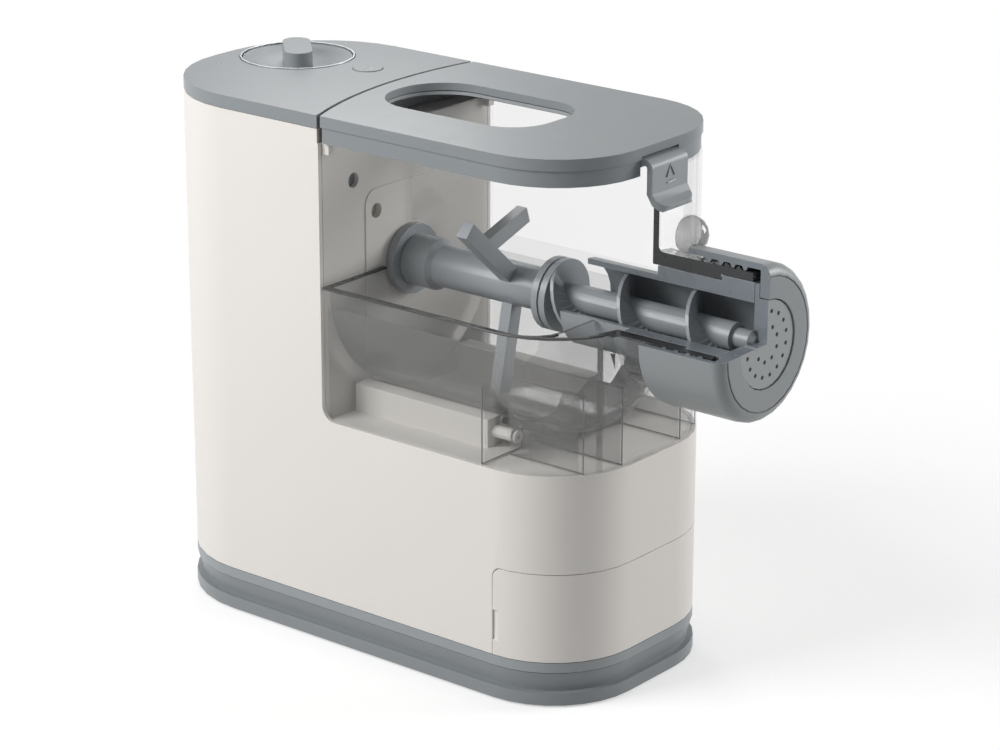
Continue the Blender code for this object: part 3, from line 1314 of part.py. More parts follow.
def make_ring_nut():
    front = NUT_FRONT_X
    mouth = DISC_BOSS_RADIUS + NUT_MOUTH_CLEARANCE
    lip = front - NUT_LIP
    rounding = arc(front - NUT_ROUNDING, NUT_RADIUS - NUT_ROUNDING, NUT_ROUNDING, 0, pi / 2,
                   CORNER_STEPS // 2)
    groove_out = NUT_GROOVE_RADIUS + NUT_GROOVE_WIDTH / 2
    groove_in = NUT_GROOVE_RADIUS - NUT_GROOVE_WIDTH / 2
    profile = [(mouth, front)]
    profile += [(across, along) for along, across in rounding]
    profile += [(NUT_RADIUS, NUT_REAR_X), (NUT_BORE, NUT_REAR_X), (NUT_BORE, lip), (mouth, lip)]
    nut = turned("ring_nut", profile, "x", DRIVE_AXIS, ring=True, steps=NUT_STEPS)
    groove = [(groove_out, front + OVERRUN), (groove_out, front - NUT_GROOVE_DEPTH),
              (groove_in, front - NUT_GROOVE_DEPTH), (groove_in, front + OVERRUN)]
    cut(nut, turned("nut_groove", groove, "x", DRIVE_AXIS, ring=True, steps=NUT_STEPS))
    sink = THREAD_HEIGHT / 2
    root_width = THREAD_ROOT + (THREAD_ROOT - THREAD_TIP) * sink / THREAD_HEIGHT
    start = THREAD_START_X + THREAD_PITCH / 2
    for index in range(THREAD_STARTS):
        phase = 2 * pi * (index / THREAD_STARTS + 1 / (2 * NUT_STEPS))
        join(nut, thread(f"nut_thread_{index + 1}", THREAD_TIP, root_width,
                         NUT_BORE - THREAD_HEIGHT, NUT_BORE + sink, thread_lead(),
                         THREAD_LENGTH / thread_lead(), start, phase, NUT_STEPS))
    cut(nut, section)
    return nut


# Drive line


def make_coupling():
    rear = COUPLING_REAR_X
    face = rear + COUPLING_THICKNESS
    front = face + COUPLING_BOSS_LENGTH
    bore = SHAFT_RADIUS + GAP
    profile = [(COUPLING_BOSS_RADIUS, front), (COUPLING_BOSS_RADIUS, face),
               (COUPLING_RADIUS, face), (COUPLING_RADIUS, rear), (bore, rear), (bore, front)]
    return turned("drive_coupling", profile, "x", DRIVE_AXIS, ring=True, steps=PIN_STEPS * 2)


def coupling_face_x():
    return COUPLING_REAR_X + COUPLING_THICKNESS


def make_paddle():
    rear = coupling_face_x() + GAP
    socket = COUPLING_BOSS_RADIUS + GAP
    deep = coupling_face_x() + COUPLING_BOSS_LENGTH + GAP
    wall = PADDLE_TUBE_RADIUS + SHELL_WALL
    taper = deep + SHELL_WALL
    neck = PADDLE_FRONT_X - PADDLE_TUBE_RADIUS
    profile = [(0, PADDLE_FRONT_X), (PADDLE_NECK_RADIUS, PADDLE_FRONT_X),
               (PADDLE_TUBE_RADIUS, neck), (PADDLE_TUBE_RADIUS, taper), (wall, deep),
               (wall, rear), (socket, rear), (socket, deep), (0, deep)]
    paddle = turned("mixing_paddle", profile, "x", DRIVE_AXIS, steps=PIN_STEPS * 2)
    half_width = ARM_WIDTH / 2
    half_thickness = ARM_THICKNESS / 2
    for index, (share, angle) in enumerate(zip(ARM_PLACE_SHARES, ARM_ANGLES)):
        arm = box(f"paddle_arm_{index + 1}", (-half_thickness, 0, -half_width),
                  (half_thickness, ARM_REACH, half_width))
        arm.data.transform(Matrix.Rotation(angle, 4, "X"))
        arm.location = (taper + (PADDLE_FRONT_X - taper) * share, 0, AXIS_Z)
        join(paddle, arm)
    return paddle


def make_auger():
    rear = PADDLE_FRONT_X + GAP
    flange_front = rear + AUGER_FLANGE_LENGTH
    flight_start = flange_front - AUGER_FLIGHT_ROOT / 2
    core_front = flight_start + AUGER_PITCH * AUGER_TURNS
    groove_mid = rear + AUGER_FLANGE_LENGTH / 2
    groove_low = groove_mid - AUGER_GROOVE_WIDTH / 2
    groove_high = groove_mid + AUGER_GROOVE_WIDTH / 2
    groove_radius = AUGER_FLANGE_RADIUS - AUGER_GROOVE_DEPTH
    profile = [(0, AUGER_NOSE_X), (AUGER_NOSE_RADIUS / 2, AUGER_NOSE_X),
               (AUGER_NOSE_RADIUS, AUGER_NOSE_X - AUGER_NOSE_RADIUS / 2),
               (AUGER_NOSE_RADIUS, core_front), (AUGER_CORE_RADIUS, core_front),
               (AUGER_CORE_RADIUS, flange_front), (AUGER_FLANGE_RADIUS, flange_front),
               (AUGER_FLANGE_RADIUS, groove_high), (groove_radius, groove_high),
               (groove_radius, groove_low), (AUGER_FLANGE_RADIUS, groove_low),
               (AUGER_FLANGE_RADIUS, rear), (0, rear)]
    auger = turned("extrusion_auger", profile, "x", DRIVE_AXIS, steps=SMALL_STEPS * 2)
    join(auger, thread("auger_flight", AUGER_FLIGHT_ROOT, AUGER_FLIGHT_TIP,
                       AUGER_CORE_RADIUS / 2, AUGER_FLIGHT_RADIUS, AUGER_PITCH, AUGER_TURNS,
                       flight_start, AUGER_FLIGHT_PHASE, SMALL_STEPS * 2))
    return auger


def gear_outline(teeth, module, phase):
    """A gear's outline in y and z from its axis, with straight flanks on involute points."""
    pitch = teeth * module / 2
    base = pitch * cos(PRESSURE_ANGLE)
    tip = pitch + ADDENDUM_SHARE * module
    root = pitch - DEDENDUM_SHARE * module
    half = pi / (2 * teeth) * (1 - BACKLASH_SHARE) + tan(PRESSURE_ANGLE) - PRESSURE_ANGLE

    def half_angle(radius):
        slope = acos(min(base / max(radius, base), 1))
        return half - (tan(slope) - slope)

    points = []
    for index in range(teeth):
        middle = phase + 2 * pi * index / teeth
        for radius, side in ((root, -1), (tip, -1), (tip, 1), (root, 1)):
            angle = middle + side * half_angle(radius)
            points.append((radius * cos(angle), radius * sin(angle)))
    return points


def circle(radius, steps=SMALL_STEPS):
    return arc(0, 0, radius, 0, 2 * pi, steps)[:-1]


def centre_distance(module):
    return module * (WHEEL_TEETH + PINION_TEETH) / 2


def idler_z():
    return AXIS_Z - centre_distance(OUTPUT_MODULE)


def motor_z():
    return idler_z() - centre_distance(MOTOR_MODULE)


def make_output_wheel():
    low = OUTPUT_WHEEL_REAR_X
    loops = [gear_outline(WHEEL_TEETH, OUTPUT_MODULE, -pi / 2), circle(SHAFT_RADIUS + GAP)]
    return slab("output_wheel", loops, low, low + WHEEL_WIDTH, "x", DRIVE_AXIS)


def make_idler():
    at = (0, 0, idler_z())
    bore = circle(IDLER_PIN_RADIUS + RUNNING_CLEARANCE)
    wheel_front = IDLER_WHEEL_REAR_X + WHEEL_WIDTH
    low = wheel_front - PINION_MARGIN
    high = OUTPUT_WHEEL_REAR_X + WHEEL_WIDTH + PINION_MARGIN
    idler = slab("idler_gear", [gear_outline(WHEEL_TEETH, MOTOR_MODULE, -pi / 2), bore],
                 IDLER_WHEEL_REAR_X, wheel_front, "x", at)
    pinion_phase = pi / 2 + pi / PINION_TEETH
    join(idler, slab("idler_pinion",
                     [gear_outline(PINION_TEETH, OUTPUT_MODULE, pinion_phase), bore],
                     low, high, "x", at))
    return idler


def make_idler_pin():
    return cylinder("idler_pin", IDLER_PIN_RADIUS, HOUSING_REAR_X + HOUSING_WALL / 2,
                    HOUSING_FRONT_X - GAP, "x", (0, 0, idler_z()), SMALL_STEPS)


def make_motor_shaft():
    at = (0, 0, motor_z())
    rear = fan_rear_x() - GAP
    pinion_low = IDLER_WHEEL_REAR_X - PINION_MARGIN
    pinion_high = IDLER_WHEEL_REAR_X + WHEEL_WIDTH + PINION_MARGIN
    shaft = cylinder("motor_shaft", MOTOR_SHAFT_RADIUS, rear, pinion_high, "x", at, SMALL_STEPS)
    phase = pi / 2 + pi / PINION_TEETH
    join(shaft, slab("motor_pinion", [gear_outline(PINION_TEETH, MOTOR_MODULE, phase)],
                     pinion_low, pinion_high + PINION_MARGIN, "x", at))
    return shaft


def make_output_shaft():
    front = coupling_face_x() + COUPLING_BOSS_LENGTH - SHAFT_FRONT_CLEARANCE
    return cylinder("output_shaft", SHAFT_RADIUS, SHAFT_REAR_X, front, "x", DRIVE_AXIS,
                    SMALL_STEPS)


def make_bushes():
    inner = SHAFT_RADIUS + RUNNING_CLEARANCE
    outer = inner + BUSH_WALL
    places = (("rear_bush", HOUSING_REAR_X + GAP, OUTPUT_WHEEL_REAR_X - GAP),
              ("front_bush", OUTPUT_WHEEL_REAR_X + WHEEL_WIDTH + GAP,
               TOWER_FRONT_X - TOWER_WALL - GAP))
    return [turned(name, [(outer, high), (outer, low), (inner, low), (inner, high)], "x",
                   DRIVE_AXIS, ring=True, steps=SMALL_STEPS) for name, low, high in places]


def make_shaft_seal():
    inner = SHAFT_RADIUS + RUNNING_CLEARANCE
    low = TOWER_FRONT_X - TOWER_WALL
    high = TOWER_FRONT_X + PANEL_PROUD
    return turned("shaft_seal", [(SEAL_RADIUS, high), (SEAL_RADIUS, low), (inner, low),
                                 (inner, high)], "x", DRIVE_AXIS, ring=True,
                  steps=PIN_STEPS * 2)


def housing_outline(inset):
    return belt_outline(AXIS_Z, HOUSING_TOP_RADIUS, motor_z(), HOUSING_LOW_RADIUS, inset)


def make_housing():
    rear = HOUSING_REAR_X
    floor = rear + HOUSING_WALL
    housing = slab("gearbox_housing", [housing_outline(0)], rear, HOUSING_FRONT_X, "x")
    cut(housing, slab("housing_hollow", [housing_outline(HOUSING_WALL)], floor,
                      HOUSING_FRONT_X + OVERRUN, "x"))
    bush_seat = SHAFT_RADIUS + RUNNING_CLEARANCE + BUSH_WALL + GAP
    through = (rear - OVERRUN, floor + OVERRUN)
    low = (0, 0, motor_z())
    cut(housing,
        cylinder("rear_bush_seat", bush_seat, *through, "x", DRIVE_AXIS),
        cylinder("idler_pin_seat", IDLER_PIN_RADIUS + GAP, rear + HOUSING_WALL / 2 - GAP,
                 floor + OVERRUN, "x", (0, 0, idler_z())),
        cylinder("motor_boss_seat", MOTOR_BOSS_RADIUS + GAP, *through, "x", low))
    for index, y in enumerate((-MOTOR_SCREW_OFFSET, MOTOR_SCREW_OFFSET)):
        cut(housing, screw_hole(f"housing_screw_hole_{index + 1}", *through, "x",
                                (0, y, motor_z())))
    return housing


def make_cover():
    low = HOUSING_FRONT_X + GAP
    high = TOWER_FRONT_X - TOWER_WALL - GAP
    seat = SHAFT_RADIUS + RUNNING_CLEARANCE + BUSH_WALL + GAP
    hole = [(y, z + AXIS_Z) for y, z in circle(seat)]
    return slab("gearbox_cover", [housing_outline(0), hole], low, high, "x")


def make_motor():
    front = HOUSING_REAR_X - GAP
    rear = front - MOTOR_LENGTH
    at = (0, 0, motor_z())
    boss_front = front + MOTOR_BOSS_LENGTH
    bore = MOTOR_SHAFT_RADIUS + RUNNING_CLEARANCE
    profile = [(MOTOR_BOSS_RADIUS, boss_front), (MOTOR_BOSS_RADIUS, front), (MOTOR_RADIUS, front),
               (MOTOR_RADIUS, rear), (bore, rear), (bore, boss_front)]
    motor = turned("motor_body", profile, "x", at, ring=True, steps=SMALL_STEPS * 2)
    for index, y in enumerate((-MOTOR_SCREW_OFFSET, MOTOR_SCREW_OFFSET)):
        cut(motor, screw_hole(f"motor_screw_hole_{index + 1}", front - MOTOR_SCREW_DEPTH - GAP,
                              front + OVERRUN, "x", (0, y, motor_z())))
    return motor


def make_motor_screws():
    """Two screws from inside the gearbox into the motor, with their heads to the front."""
    head_low = HOUSING_REAR_X + HOUSING_WALL + GAP
    head_high = head_low + SCREW_HEAD_HEIGHT
    tip = HOUSING_REAR_X - GAP - MOTOR_SCREW_DEPTH
    profile = [(0, head_high), (SCREW_HEAD_RADIUS, head_high), (SCREW_HEAD_RADIUS, head_low),
               (SCREW_RADIUS, head_low), (SCREW_RADIUS, tip), (0, tip)]
    return [turned(f"motor_screw_{index + 1}", profile, "x", (0, y, motor_z()), steps=PIN_STEPS)
            for index, y in enumerate((-MOTOR_SCREW_OFFSET, MOTOR_SCREW_OFFSET))]


def fan_rear_x():
    return HOUSING_REAR_X - GAP - MOTOR_LENGTH - FAN_CLEARANCE - FAN_WIDTH


def make_fan():
    low = fan_rear_x()
    high = low + FAN_WIDTH
    at = (0, 0, motor_z())
    hole = circle(MOTOR_SHAFT_RADIUS + GAP)
    fan = slab("cooling_fan", [circle(FAN_HUB_RADIUS, SMALL_STEPS * 2), hole], low, high, "x", at)
    for index in range(FAN_BLADES):
        blade = box(f"fan_blade_{index + 1}",
                    (-FAN_WIDTH / 2, FAN_HUB_RADIUS - SHELL_WALL, -FAN_BLADE_THICKNESS / 2),
                    (FAN_WIDTH / 2, FAN_RADIUS, FAN_BLADE_THICKNESS / 2))
        lean = Matrix.Rotation(radians(30), 4, "Y")
        turn = Matrix.Rotation(2 * pi * index / FAN_BLADES, 4, "X")
        blade.data.transform(turn @ lean)
        blade.location = ((low + high) / 2, 0, motor_z())
        join(fan, blade)
    return fan


def make_gland():
    inside = SHELL_WALL + GAP
    wide = GLAND_RADIUS + GLAND_FLANGE
    profile = [(GLAND_RADIUS, 0), (GLAND_RADIUS, inside), (wide, inside),
               (wide, inside + GLAND_FLANGE), (GLAND_RADIUS, inside + GLAND_FLANGE),
               (GLAND_RADIUS, GLAND_LENGTH), (GLAND_BORE, GLAND_LENGTH), (GLAND_BORE, 0)]
    return turned("cord_gland", profile, "x", (0, 0, GLAND_Z), ring=True, steps=PIN_STEPS * 2)


# Drawer


def make_drawer_front():
    low = BODY_BOTTOM_Z + GAP
    high = DRAWER_TOP_Z - GAP
    rear_x = DRAWER_REAR_X + GAP
    behind = BODY_LENGTH - FRONT_RADIUS - OVERRUN
    loop = front_outline(0, behind) + front_outline(SHELL_WALL, behind)[::-1]
    front = slab("drawer_front", [loop], low - OVERRUN, high + OVERRUN)
    side = BODY_WIDTH / 2 + OVERRUN
    limit = drawer_side(rear_x, low, high, BODY_LENGTH + OVERRUN)
    keep(front, slab("drawer_limit", [limit], -side, side, "y"))
    notch_side = BODY_WIDTH / 2 - SHELL_WALL / 2
    cut(front, box("finger_notch", (rear_x - OVERRUN, -side, DRAWER_NOTCH_LOW_Z),
                   (rear_x + DRAWER_NOTCH_WIDTH, -notch_side, DRAWER_NOTCH_HIGH_Z)))
    return front


def make_drawer_tray():
    low = BODY_BOTTOM_Z + GAP
    outer = SHELL_WALL + GAP
    inner = outer + DRAWER_TRAY_WALL
    tray = slab("drawer_tray", [front_outline(outer, DRAWER_TRAY_REAR_X)], low, DRAWER_TRAY_TOP_Z)
    cut(tray, slab("drawer_hollow",
                   [front_outline(inner, DRAWER_TRAY_REAR_X + DRAWER_TRAY_WALL)],
                   low + DRAWER_TRAY_FLOOR, DRAWER_TRAY_TOP_Z + OVERRUN))
    return tray


def make_section():
    """The quarter that is cut away: near side of the mid-plane and above the drive axis."""
    return box("section", (COUPLING_REAR_X, -BODY_WIDTH, AXIS_Z),
               (NUT_FRONT_X + OVERRUN, 0, LID_BOTTOM_Z - GAP))


MERGE = 0.000001
FLAT_ANGLE = radians(0.1)
SMOOTH_ANGLE = radians(35)

clear_scene()
parts = collection("electric_pasta_maker")
cutters = collection("cutters")
machine_rear = bpy.data.objects.new("machine_rear", None)
parts.objects.link(machine_rear)
machine_rear.location = ((SKIRT_PROUD - NUT_FRONT_X) / 2, 0, 0)
section = make_section()

white = material("white_plastic", WHITE_SHARES, 0.42)
grey = material("grey_plastic", GREY_SHARES, 0.40)
pale_grey = material("pale_grey_plastic", PALE_GREY_SHARES, 0.38)
silver = material("silver_plastic", SILVER_SHARES, 0.28, metallic=0.6)
clear = material("clear_plastic", CLEAR_SHARES, 0.05, transmission=1)
dark = material("dark_rubber", DARK_SHARES, 0.70)
steel = material("steel", STEEL_SHARES, 0.30, metallic=1)
brass = material("brass", BRASS_SHARES, 0.35, metallic=1)
board_green = material("board_green", BOARD_SHARES, 0.50)
gear_plastic = material("gear_plastic", GEAR_SHARES, 0.50)

paint(white, make_body_shell(), make_deck(), make_drawer_front(), make_drawer_tray(),
      make_tower_front(), *make_pegs())
paint(grey, make_base_tray(), make_chassis_floor(), make_barrel(), make_ring_nut(),
      make_paddle(), make_auger(), make_coupling(), make_lid_insert(), *make_spare_discs())
paint(pale_grey, make_rear_cap(), make_lid(), make_latch(), make_knob_handle(),
      make_start_button(), make_shaping_disc())
paint(silver, make_dial_ring(), make_dial_dish())
paint(clear, make_chamber(), make_front_panel(), make_lens())
paint(dark, make_cradle_pad(), make_shaft_seal(), make_safety_switch(), make_gland(),
      *make_switches(), *make_feet())
paint(steel, make_latch_pin(), make_output_shaft(), make_motor_shaft(), make_motor(),
      make_idler_pin(), *make_base_screws(), *make_motor_screws())
paint(brass, *make_bushes())
paint(board_green, make_board())
paint(gear_plastic, make_output_wheel(), make_idler(), make_housing(), make_cover(), make_fan())
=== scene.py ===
import bpy
import bmesh
from math import cos, radians, sin, sqrt
from mathutils import Matrix, Vector


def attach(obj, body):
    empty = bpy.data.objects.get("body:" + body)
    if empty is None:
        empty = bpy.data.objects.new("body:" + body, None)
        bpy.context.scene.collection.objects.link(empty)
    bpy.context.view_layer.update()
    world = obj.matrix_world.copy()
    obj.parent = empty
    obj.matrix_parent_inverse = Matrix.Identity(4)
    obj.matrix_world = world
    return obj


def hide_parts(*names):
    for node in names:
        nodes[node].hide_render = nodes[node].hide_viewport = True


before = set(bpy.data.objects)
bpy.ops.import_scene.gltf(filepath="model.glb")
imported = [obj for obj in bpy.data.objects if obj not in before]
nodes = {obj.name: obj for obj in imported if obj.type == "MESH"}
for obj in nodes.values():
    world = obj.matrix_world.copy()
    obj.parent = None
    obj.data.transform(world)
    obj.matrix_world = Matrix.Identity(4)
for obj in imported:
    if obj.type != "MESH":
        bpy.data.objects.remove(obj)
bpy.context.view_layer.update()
bpy.context.scene.view_settings.view_transform = "Standard"
print("frame loaded:", len(nodes), "nodes")


# shader expressions

class Wire:
    def __init__(self, look, socket):
        self.look = look
        self.socket = socket

    def calc(self, operation, *values):
        return self.look.add("ShaderNodeMath", {"operation": operation}, dict(enumerate(values)))

    def __add__(self, other):
        return self.calc("ADD", self, other)

    def __radd__(self, other):
        return self.calc("ADD", other, self)

    def __sub__(self, other):
        return self.calc("SUBTRACT", self, other)

    def __rsub__(self, other):
        return self.calc("SUBTRACT", other, self)

    def __mul__(self, other):
        return self.calc("MULTIPLY", self, other)

    def __rmul__(self, other):
        return self.calc("MULTIPLY", other, self)

    def __truediv__(self, other):
        return self.calc("DIVIDE", self, other)

    def __rtruediv__(self, other):
        return self.calc("DIVIDE", other, self)

    def __pow__(self, other):
        return self.calc("POWER", self, other)

    def __rpow__(self, other):
        return self.calc("POWER", other, self)

    def clamp(self):
        return self.look.add("ShaderNodeClamp", {}, {"Value": self})

    def other(self, name):
        return Wire(self.look, self.socket.node.outputs[name])


class Look:
    def __init__(self, name, world=False):
        self.material = (bpy.data.worlds if world else bpy.data.materials).new(name)
        self.material.use_nodes = True
        self.tree = self.material.node_tree
        self.shader = self.tree.nodes["Background" if world else "Principled BSDF"]
        self.output = self.tree.nodes["World Output" if world else "Material Output"]

    def add(self, kind, settings, sockets, out=0):
        node = self.tree.nodes.new(kind)
        for key, value in settings.items():
            setattr(node, key, value)
        for key, value in sockets.items():
            self.plug(node.inputs[key], value)
        return Wire(self, node.outputs[out])

    def plug(self, socket, value):
        if isinstance(value, Wire):
            self.tree.links.new(value.socket, socket)
        else:
            socket.default_value = value

    def mix(self, share, first, second):
        first, second = (value if isinstance(value, Wire) else (*value, 1)
                         for value in (first, second))
        return self.add("ShaderNodeMix", {"data_type": "RGBA"},
                        {0: share, 6: first, 7: second}, 2)

    def place(self):
        return self.add("ShaderNodeTexCoord", {}, {}, 3)

    def noise(self, scale, detail=3, where=None, roughness=0.5):
        return self.add("ShaderNodeTexNoise", {}, {
            "Vector": where or self.place(), "Scale": scale, "Detail": detail,
            "Roughness": roughness})

    def seen(self):
        # 1 for rays that show the background, straight, mirrored or through glass
        path = self.add("ShaderNodeLightPath", {}, {}, 0)
        mirrored = path.other("Is Glossy Ray")
        through = path.other("Is Transmission Ray")
        return (path + mirrored + through).clamp()

    def bump(self, height, strength, distance):
        return self.add("ShaderNodeBump", {}, {
            "Height": height, "Strength": strength, "Distance": distance})

    def set(self, **values):
        for key, value in values.items():
            self.plug(self.shader.inputs[key.replace("_", " ")], value)


def colour(red, green, blue):
    # a colour given as it looks on screen, 0 to 255, turned into light
    def light(share):
        return share / 12.92 if share <= 0.04045 else ((share + 0.055) / 1.055) ** 2.4
    return tuple(light(value / 255) for value in (red, green, blue))


def mouldedPlastic(name, settings):
    look = Look(name)
    base = colour(*settings["colour"])
    tone = look.noise(settings["patch"], settings["toneDetail"])
    dark = tuple(value * (1 - settings["spread"]) for value in base)
    grain = look.noise(settings["grain"], settings["grainDetail"],
                       roughness=settings["grainRough"])
    rub = look.noise(settings["patch"] * settings["rubFiner"])
    look.set(Base_Color=look.mix(tone, dark, base),
             Roughness=settings["rough"] + (rub - 0.5) * settings["roughSpread"],
             Normal=look.bump(grain, settings["bump"], settings["depth"]),
             IOR=settings["ior"], Coat_Roughness=settings["coatRough"],
             Coat_Weight=settings["coat"])
    return look.material


# what most of the plastics share
anyPlastic = {"patch": 14, "spread": 0.04, "rough": 0.42, "roughSpread": 0.10, "grain": 1500,
              "bump": 0.12, "depth": 0.00004, "ior": 1.46, "coat": 0.0, "coatRough": 0.25,
              "toneDetail": 2, "grainDetail": 4, "grainRough": 0.6, "rubFiner": 6}
plastics = {
    "warmWhite": {"colour": (236, 232, 227), "patch": 9, "spread": 0.025, "rough": 0.46,
                  "bump": 0.10, "ior": 1.36},
    "innerWhite": {"colour": (228, 225, 220), "patch": 12, "spread": 0.03, "rough": 0.45,
                   "grain": 1100, "bump": 0.10},
    "topGrey": {"colour": (146, 151, 154), "patch": 10, "rough": 0.34, "grain": 1800,
                "ior": 1.25},
    "latchGrey": {"colour": (164, 169, 172), "patch": 10, "rough": 0.38, "grain": 1800,
                  "ior": 1.40},
    "bandGrey": {"colour": (158, 163, 166), "patch": 10, "roughSpread": 0.12, "grain": 1800,
                 "bump": 0.14, "ior": 1.40},
    "baseGrey": {"colour": (140, 145, 148), "patch": 10, "roughSpread": 0.12, "grain": 1800,
                 "bump": 0.14, "coat": 0.04},
    "nutGrey": {"colour": (146, 151, 153), "spread": 0.05, "rough": 0.38, "roughSpread": 0.12,
                "grain": 1600, "bump": 0.14, "coat": 0.05},
    "screwGrey": {"colour": (158, 163, 167), "patch": 16, "spread": 0.06, "rough": 0.34,
                  "roughSpread": 0.12, "grain": 1200, "coat": 0.06},
    "discGrey": {"colour": (160, 164, 164), "patch": 16, "spread": 0.05, "rough": 0.40,
                 "grain": 1400, "coat": 0.03},
    "markLight": {"colour": (214, 217, 219), "rough": 0.35, "roughSpread": 0.08, "bump": 0.08,
                  "ior": 1.45},
    "insertGrey": {"colour": (48, 50, 52), "spread": 0.06, "rough": 0.32, "roughSpread": 0.12,
                   "coat": 0.05},
    # painted highlight: light grey standing for the glint on the window ring's sides
    "insertPaintedHighlight": {"colour": (168, 172, 175), "spread": 0.06, "rough": 0.20, "bump": 0.10,
                    "ior": 1.50, "coat": 0.1},
    # the dark of the rubber parts, also used as painted shade on the cradle_pad
    "darkRubberAndShade": {"colour": (44, 45, 46), "patch": 20, "spread": 0.15, "rough": 0.72,
                   "roughSpread": 0.14, "grain": 900, "bump": 0.30, "depth": 0.00008,
                   "ior": 1.45},
    "gearPlastic": {"colour": (206, 201, 190), "spread": 0.05, "rough": 0.46, "grain": 1200,
                    "depth": 0.00005, "ior": 1.48},
}
finish = {name: mouldedPlastic(name, {**anyPlastic, **settings})
          for name, settings in plastics.items()}


def metal(name, settings):
    look = Look(name)
    base = colour(*settings["colour"])
    stretched = look.add("ShaderNodeMapping", {}, {
        "Vector": look.place(), "Scale": settings["stretch"]})
    lines = look.noise(settings["lines"], 3, stretched)
    dark = tuple(value * settings["dark"] for value in base)
    look.set(Base_Color=look.mix(lines, dark, base),
             Roughness=settings["rough"] + (lines - 0.5) * settings["roughSpread"],
             Normal=look.bump(lines, settings["bump"], settings["depth"]),
             Metallic=settings["metallic"])
    return look.material


anyMetal = {"dark": 0.82, "roughSpread": 0.16, "bump": 0.15, "depth": 0.00004}
metals = {
    "dialSilver": {"colour": (152, 157, 160), "stretch": (1, 1, 6), "lines": 900,
                   "rough": 0.52, "metallic": 0.12},
    "ringSilver": {"colour": (178, 181, 184), "stretch": (1, 1, 6), "lines": 700,
                   "rough": 0.30, "metallic": 0.6},
    "steel": {"colour": (196, 197, 199), "stretch": (9, 1, 1), "lines": 600,
              "rough": 0.30, "metallic": 1.0},
    "bronze": {"colour": (190, 152, 96), "stretch": (1, 1, 1), "lines": 500,
               "rough": 0.42, "metallic": 1.0},
}
finish.update({name: metal(name, {**anyMetal, **settings}) for name, settings in metals.items()})


def clearPlastic(name, settings):
    look = Look(name)
    facing = look.add("ShaderNodeLayerWeight", {}, {"Blend": 0.5}, 1)
    haze = look.noise(settings["patch"])
    edge = facing ** settings["edgePower"]
    cover = settings["cover"] + edge * settings["edgeCover"] + haze * settings["haze"]
    relief = look.bump(look.noise(settings["wear"]), settings["bump"], settings["depth"])
    look.set(Base_Color=look.mix(edge, colour(*settings["colour"]), colour(*settings["edge"])),
             Alpha=cover.clamp(), Normal=relief, IOR=settings["ior"],
             Roughness=settings["rough"] + haze * settings["roughSpread"])
    gloss = look.add("ShaderNodeBsdfGlossy", {}, {
        "Color": (1, 1, 1, 1), "Roughness": settings["rough"], "Normal": relief})
    straight = settings["mirror"]  # how much a face seen straight on reflects
    mirror = (straight + facing ** settings["rise"] * (1 - straight)) * settings["gloss"]
    surface = look.add("ShaderNodeMixShader", {}, {
        0: mirror, 1: Wire(look, look.shader.outputs[0]), 2: gloss})
    look.plug(look.output.inputs["Surface"], surface)
    look.material.surface_render_method = "BLENDED"
    return look.material


anyClear = {"patch": 14, "wear": 420, "bump": 0.05, "depth": 0.00003, "roughSpread": 0.05,
            "ior": 1.52, "mirror": 0.04, "rise": 5}
clears = {
    "clearWall": {"colour": (170, 173, 173), "edge": (70, 73, 75), "edgePower": 4.0,
                  "cover": 0.012, "edgeCover": 0.30, "haze": 0.008, "rough": 0.03,
                  "gloss": 0.35},
    "clearTrough": {"colour": (166, 166, 163), "edge": (128, 130, 130), "edgePower": 2.0,
                    "cover": 0.10, "edgeCover": 0.26, "haze": 0.01, "rough": 0.04,
                    "gloss": 0.35},
    "clearSkirt": {"colour": (168, 168, 165), "edge": (98, 101, 102), "edgePower": 3.0,
                   "cover": 0.10, "edgeCover": 0.25, "haze": 0.01, "rough": 0.03,
                   "gloss": 0.35},
    "clearGrip": {"colour": (104, 107, 108), "edge": (58, 60, 62), "edgePower": 1.5,
                  "cover": 0.52, "edgeCover": 0.4, "haze": 0.05, "rough": 0.05, "gloss": 0.6},
    # painted shade: dark lines on the rounded edges of the clear parts
    "clearEdgeShade": {"colour": (62, 65, 66), "edge": (40, 42, 43), "edgePower": 2.0, "patch": 30,
                  "cover": 0.45, "edgeCover": 0.35, "haze": 0.03, "rough": 0.12, "gloss": 0.1},
    "smokyWall": {"colour": (112, 116, 118), "edge": (34, 36, 38), "edgePower": 1.5,
                  "cover": 0.22, "edgeCover": 0.7, "haze": 0.05, "rough": 0.05, "gloss": 0.6},
    "lens": {"colour": (212, 216, 218), "edge": (120, 124, 126), "edgePower": 2.0, "patch": 30,
             "cover": 0.55, "edgeCover": 0.3, "haze": 0.02, "rough": 0.08, "gloss": 0.8},
}
finish.update({name: clearPlastic(name, {**anyClear, **settings})
               for name, settings in clears.items()})


def darkEdge(name, settings):
    look = Look(name)
    base = colour(*settings["colour"])
    tone = look.noise(settings["patch"])
    lighter = tuple(min(1, value * settings["lighten"] + settings["lift"]) for value in base)
    look.set(Base_Color=look.mix(tone, base, lighter),
             Roughness=settings["rough"] + tone * settings["roughSpread"],
             Normal=look.bump(look.noise(settings["grain"]), settings["bump"],
                              settings["depth"]))
    return look.material


anyEdge = {"patch": 60, "lighten": 1.5, "lift": 0.004, "rough": 0.22, "roughSpread": 0.12,
           "grain": 800, "bump": 0.1, "depth": 0.00004}
edges = {
    "clearCut": {"colour": (40, 42, 43)},
    "ribShade": {"colour": (98, 101, 101)},
    "greyCut": {"colour": (110, 117, 123)},
    "markGrey": {"colour": (96, 100, 103)},
}
finish.update({name: darkEdge(name, {**anyEdge, **settings}) for name, settings in edges.items()})


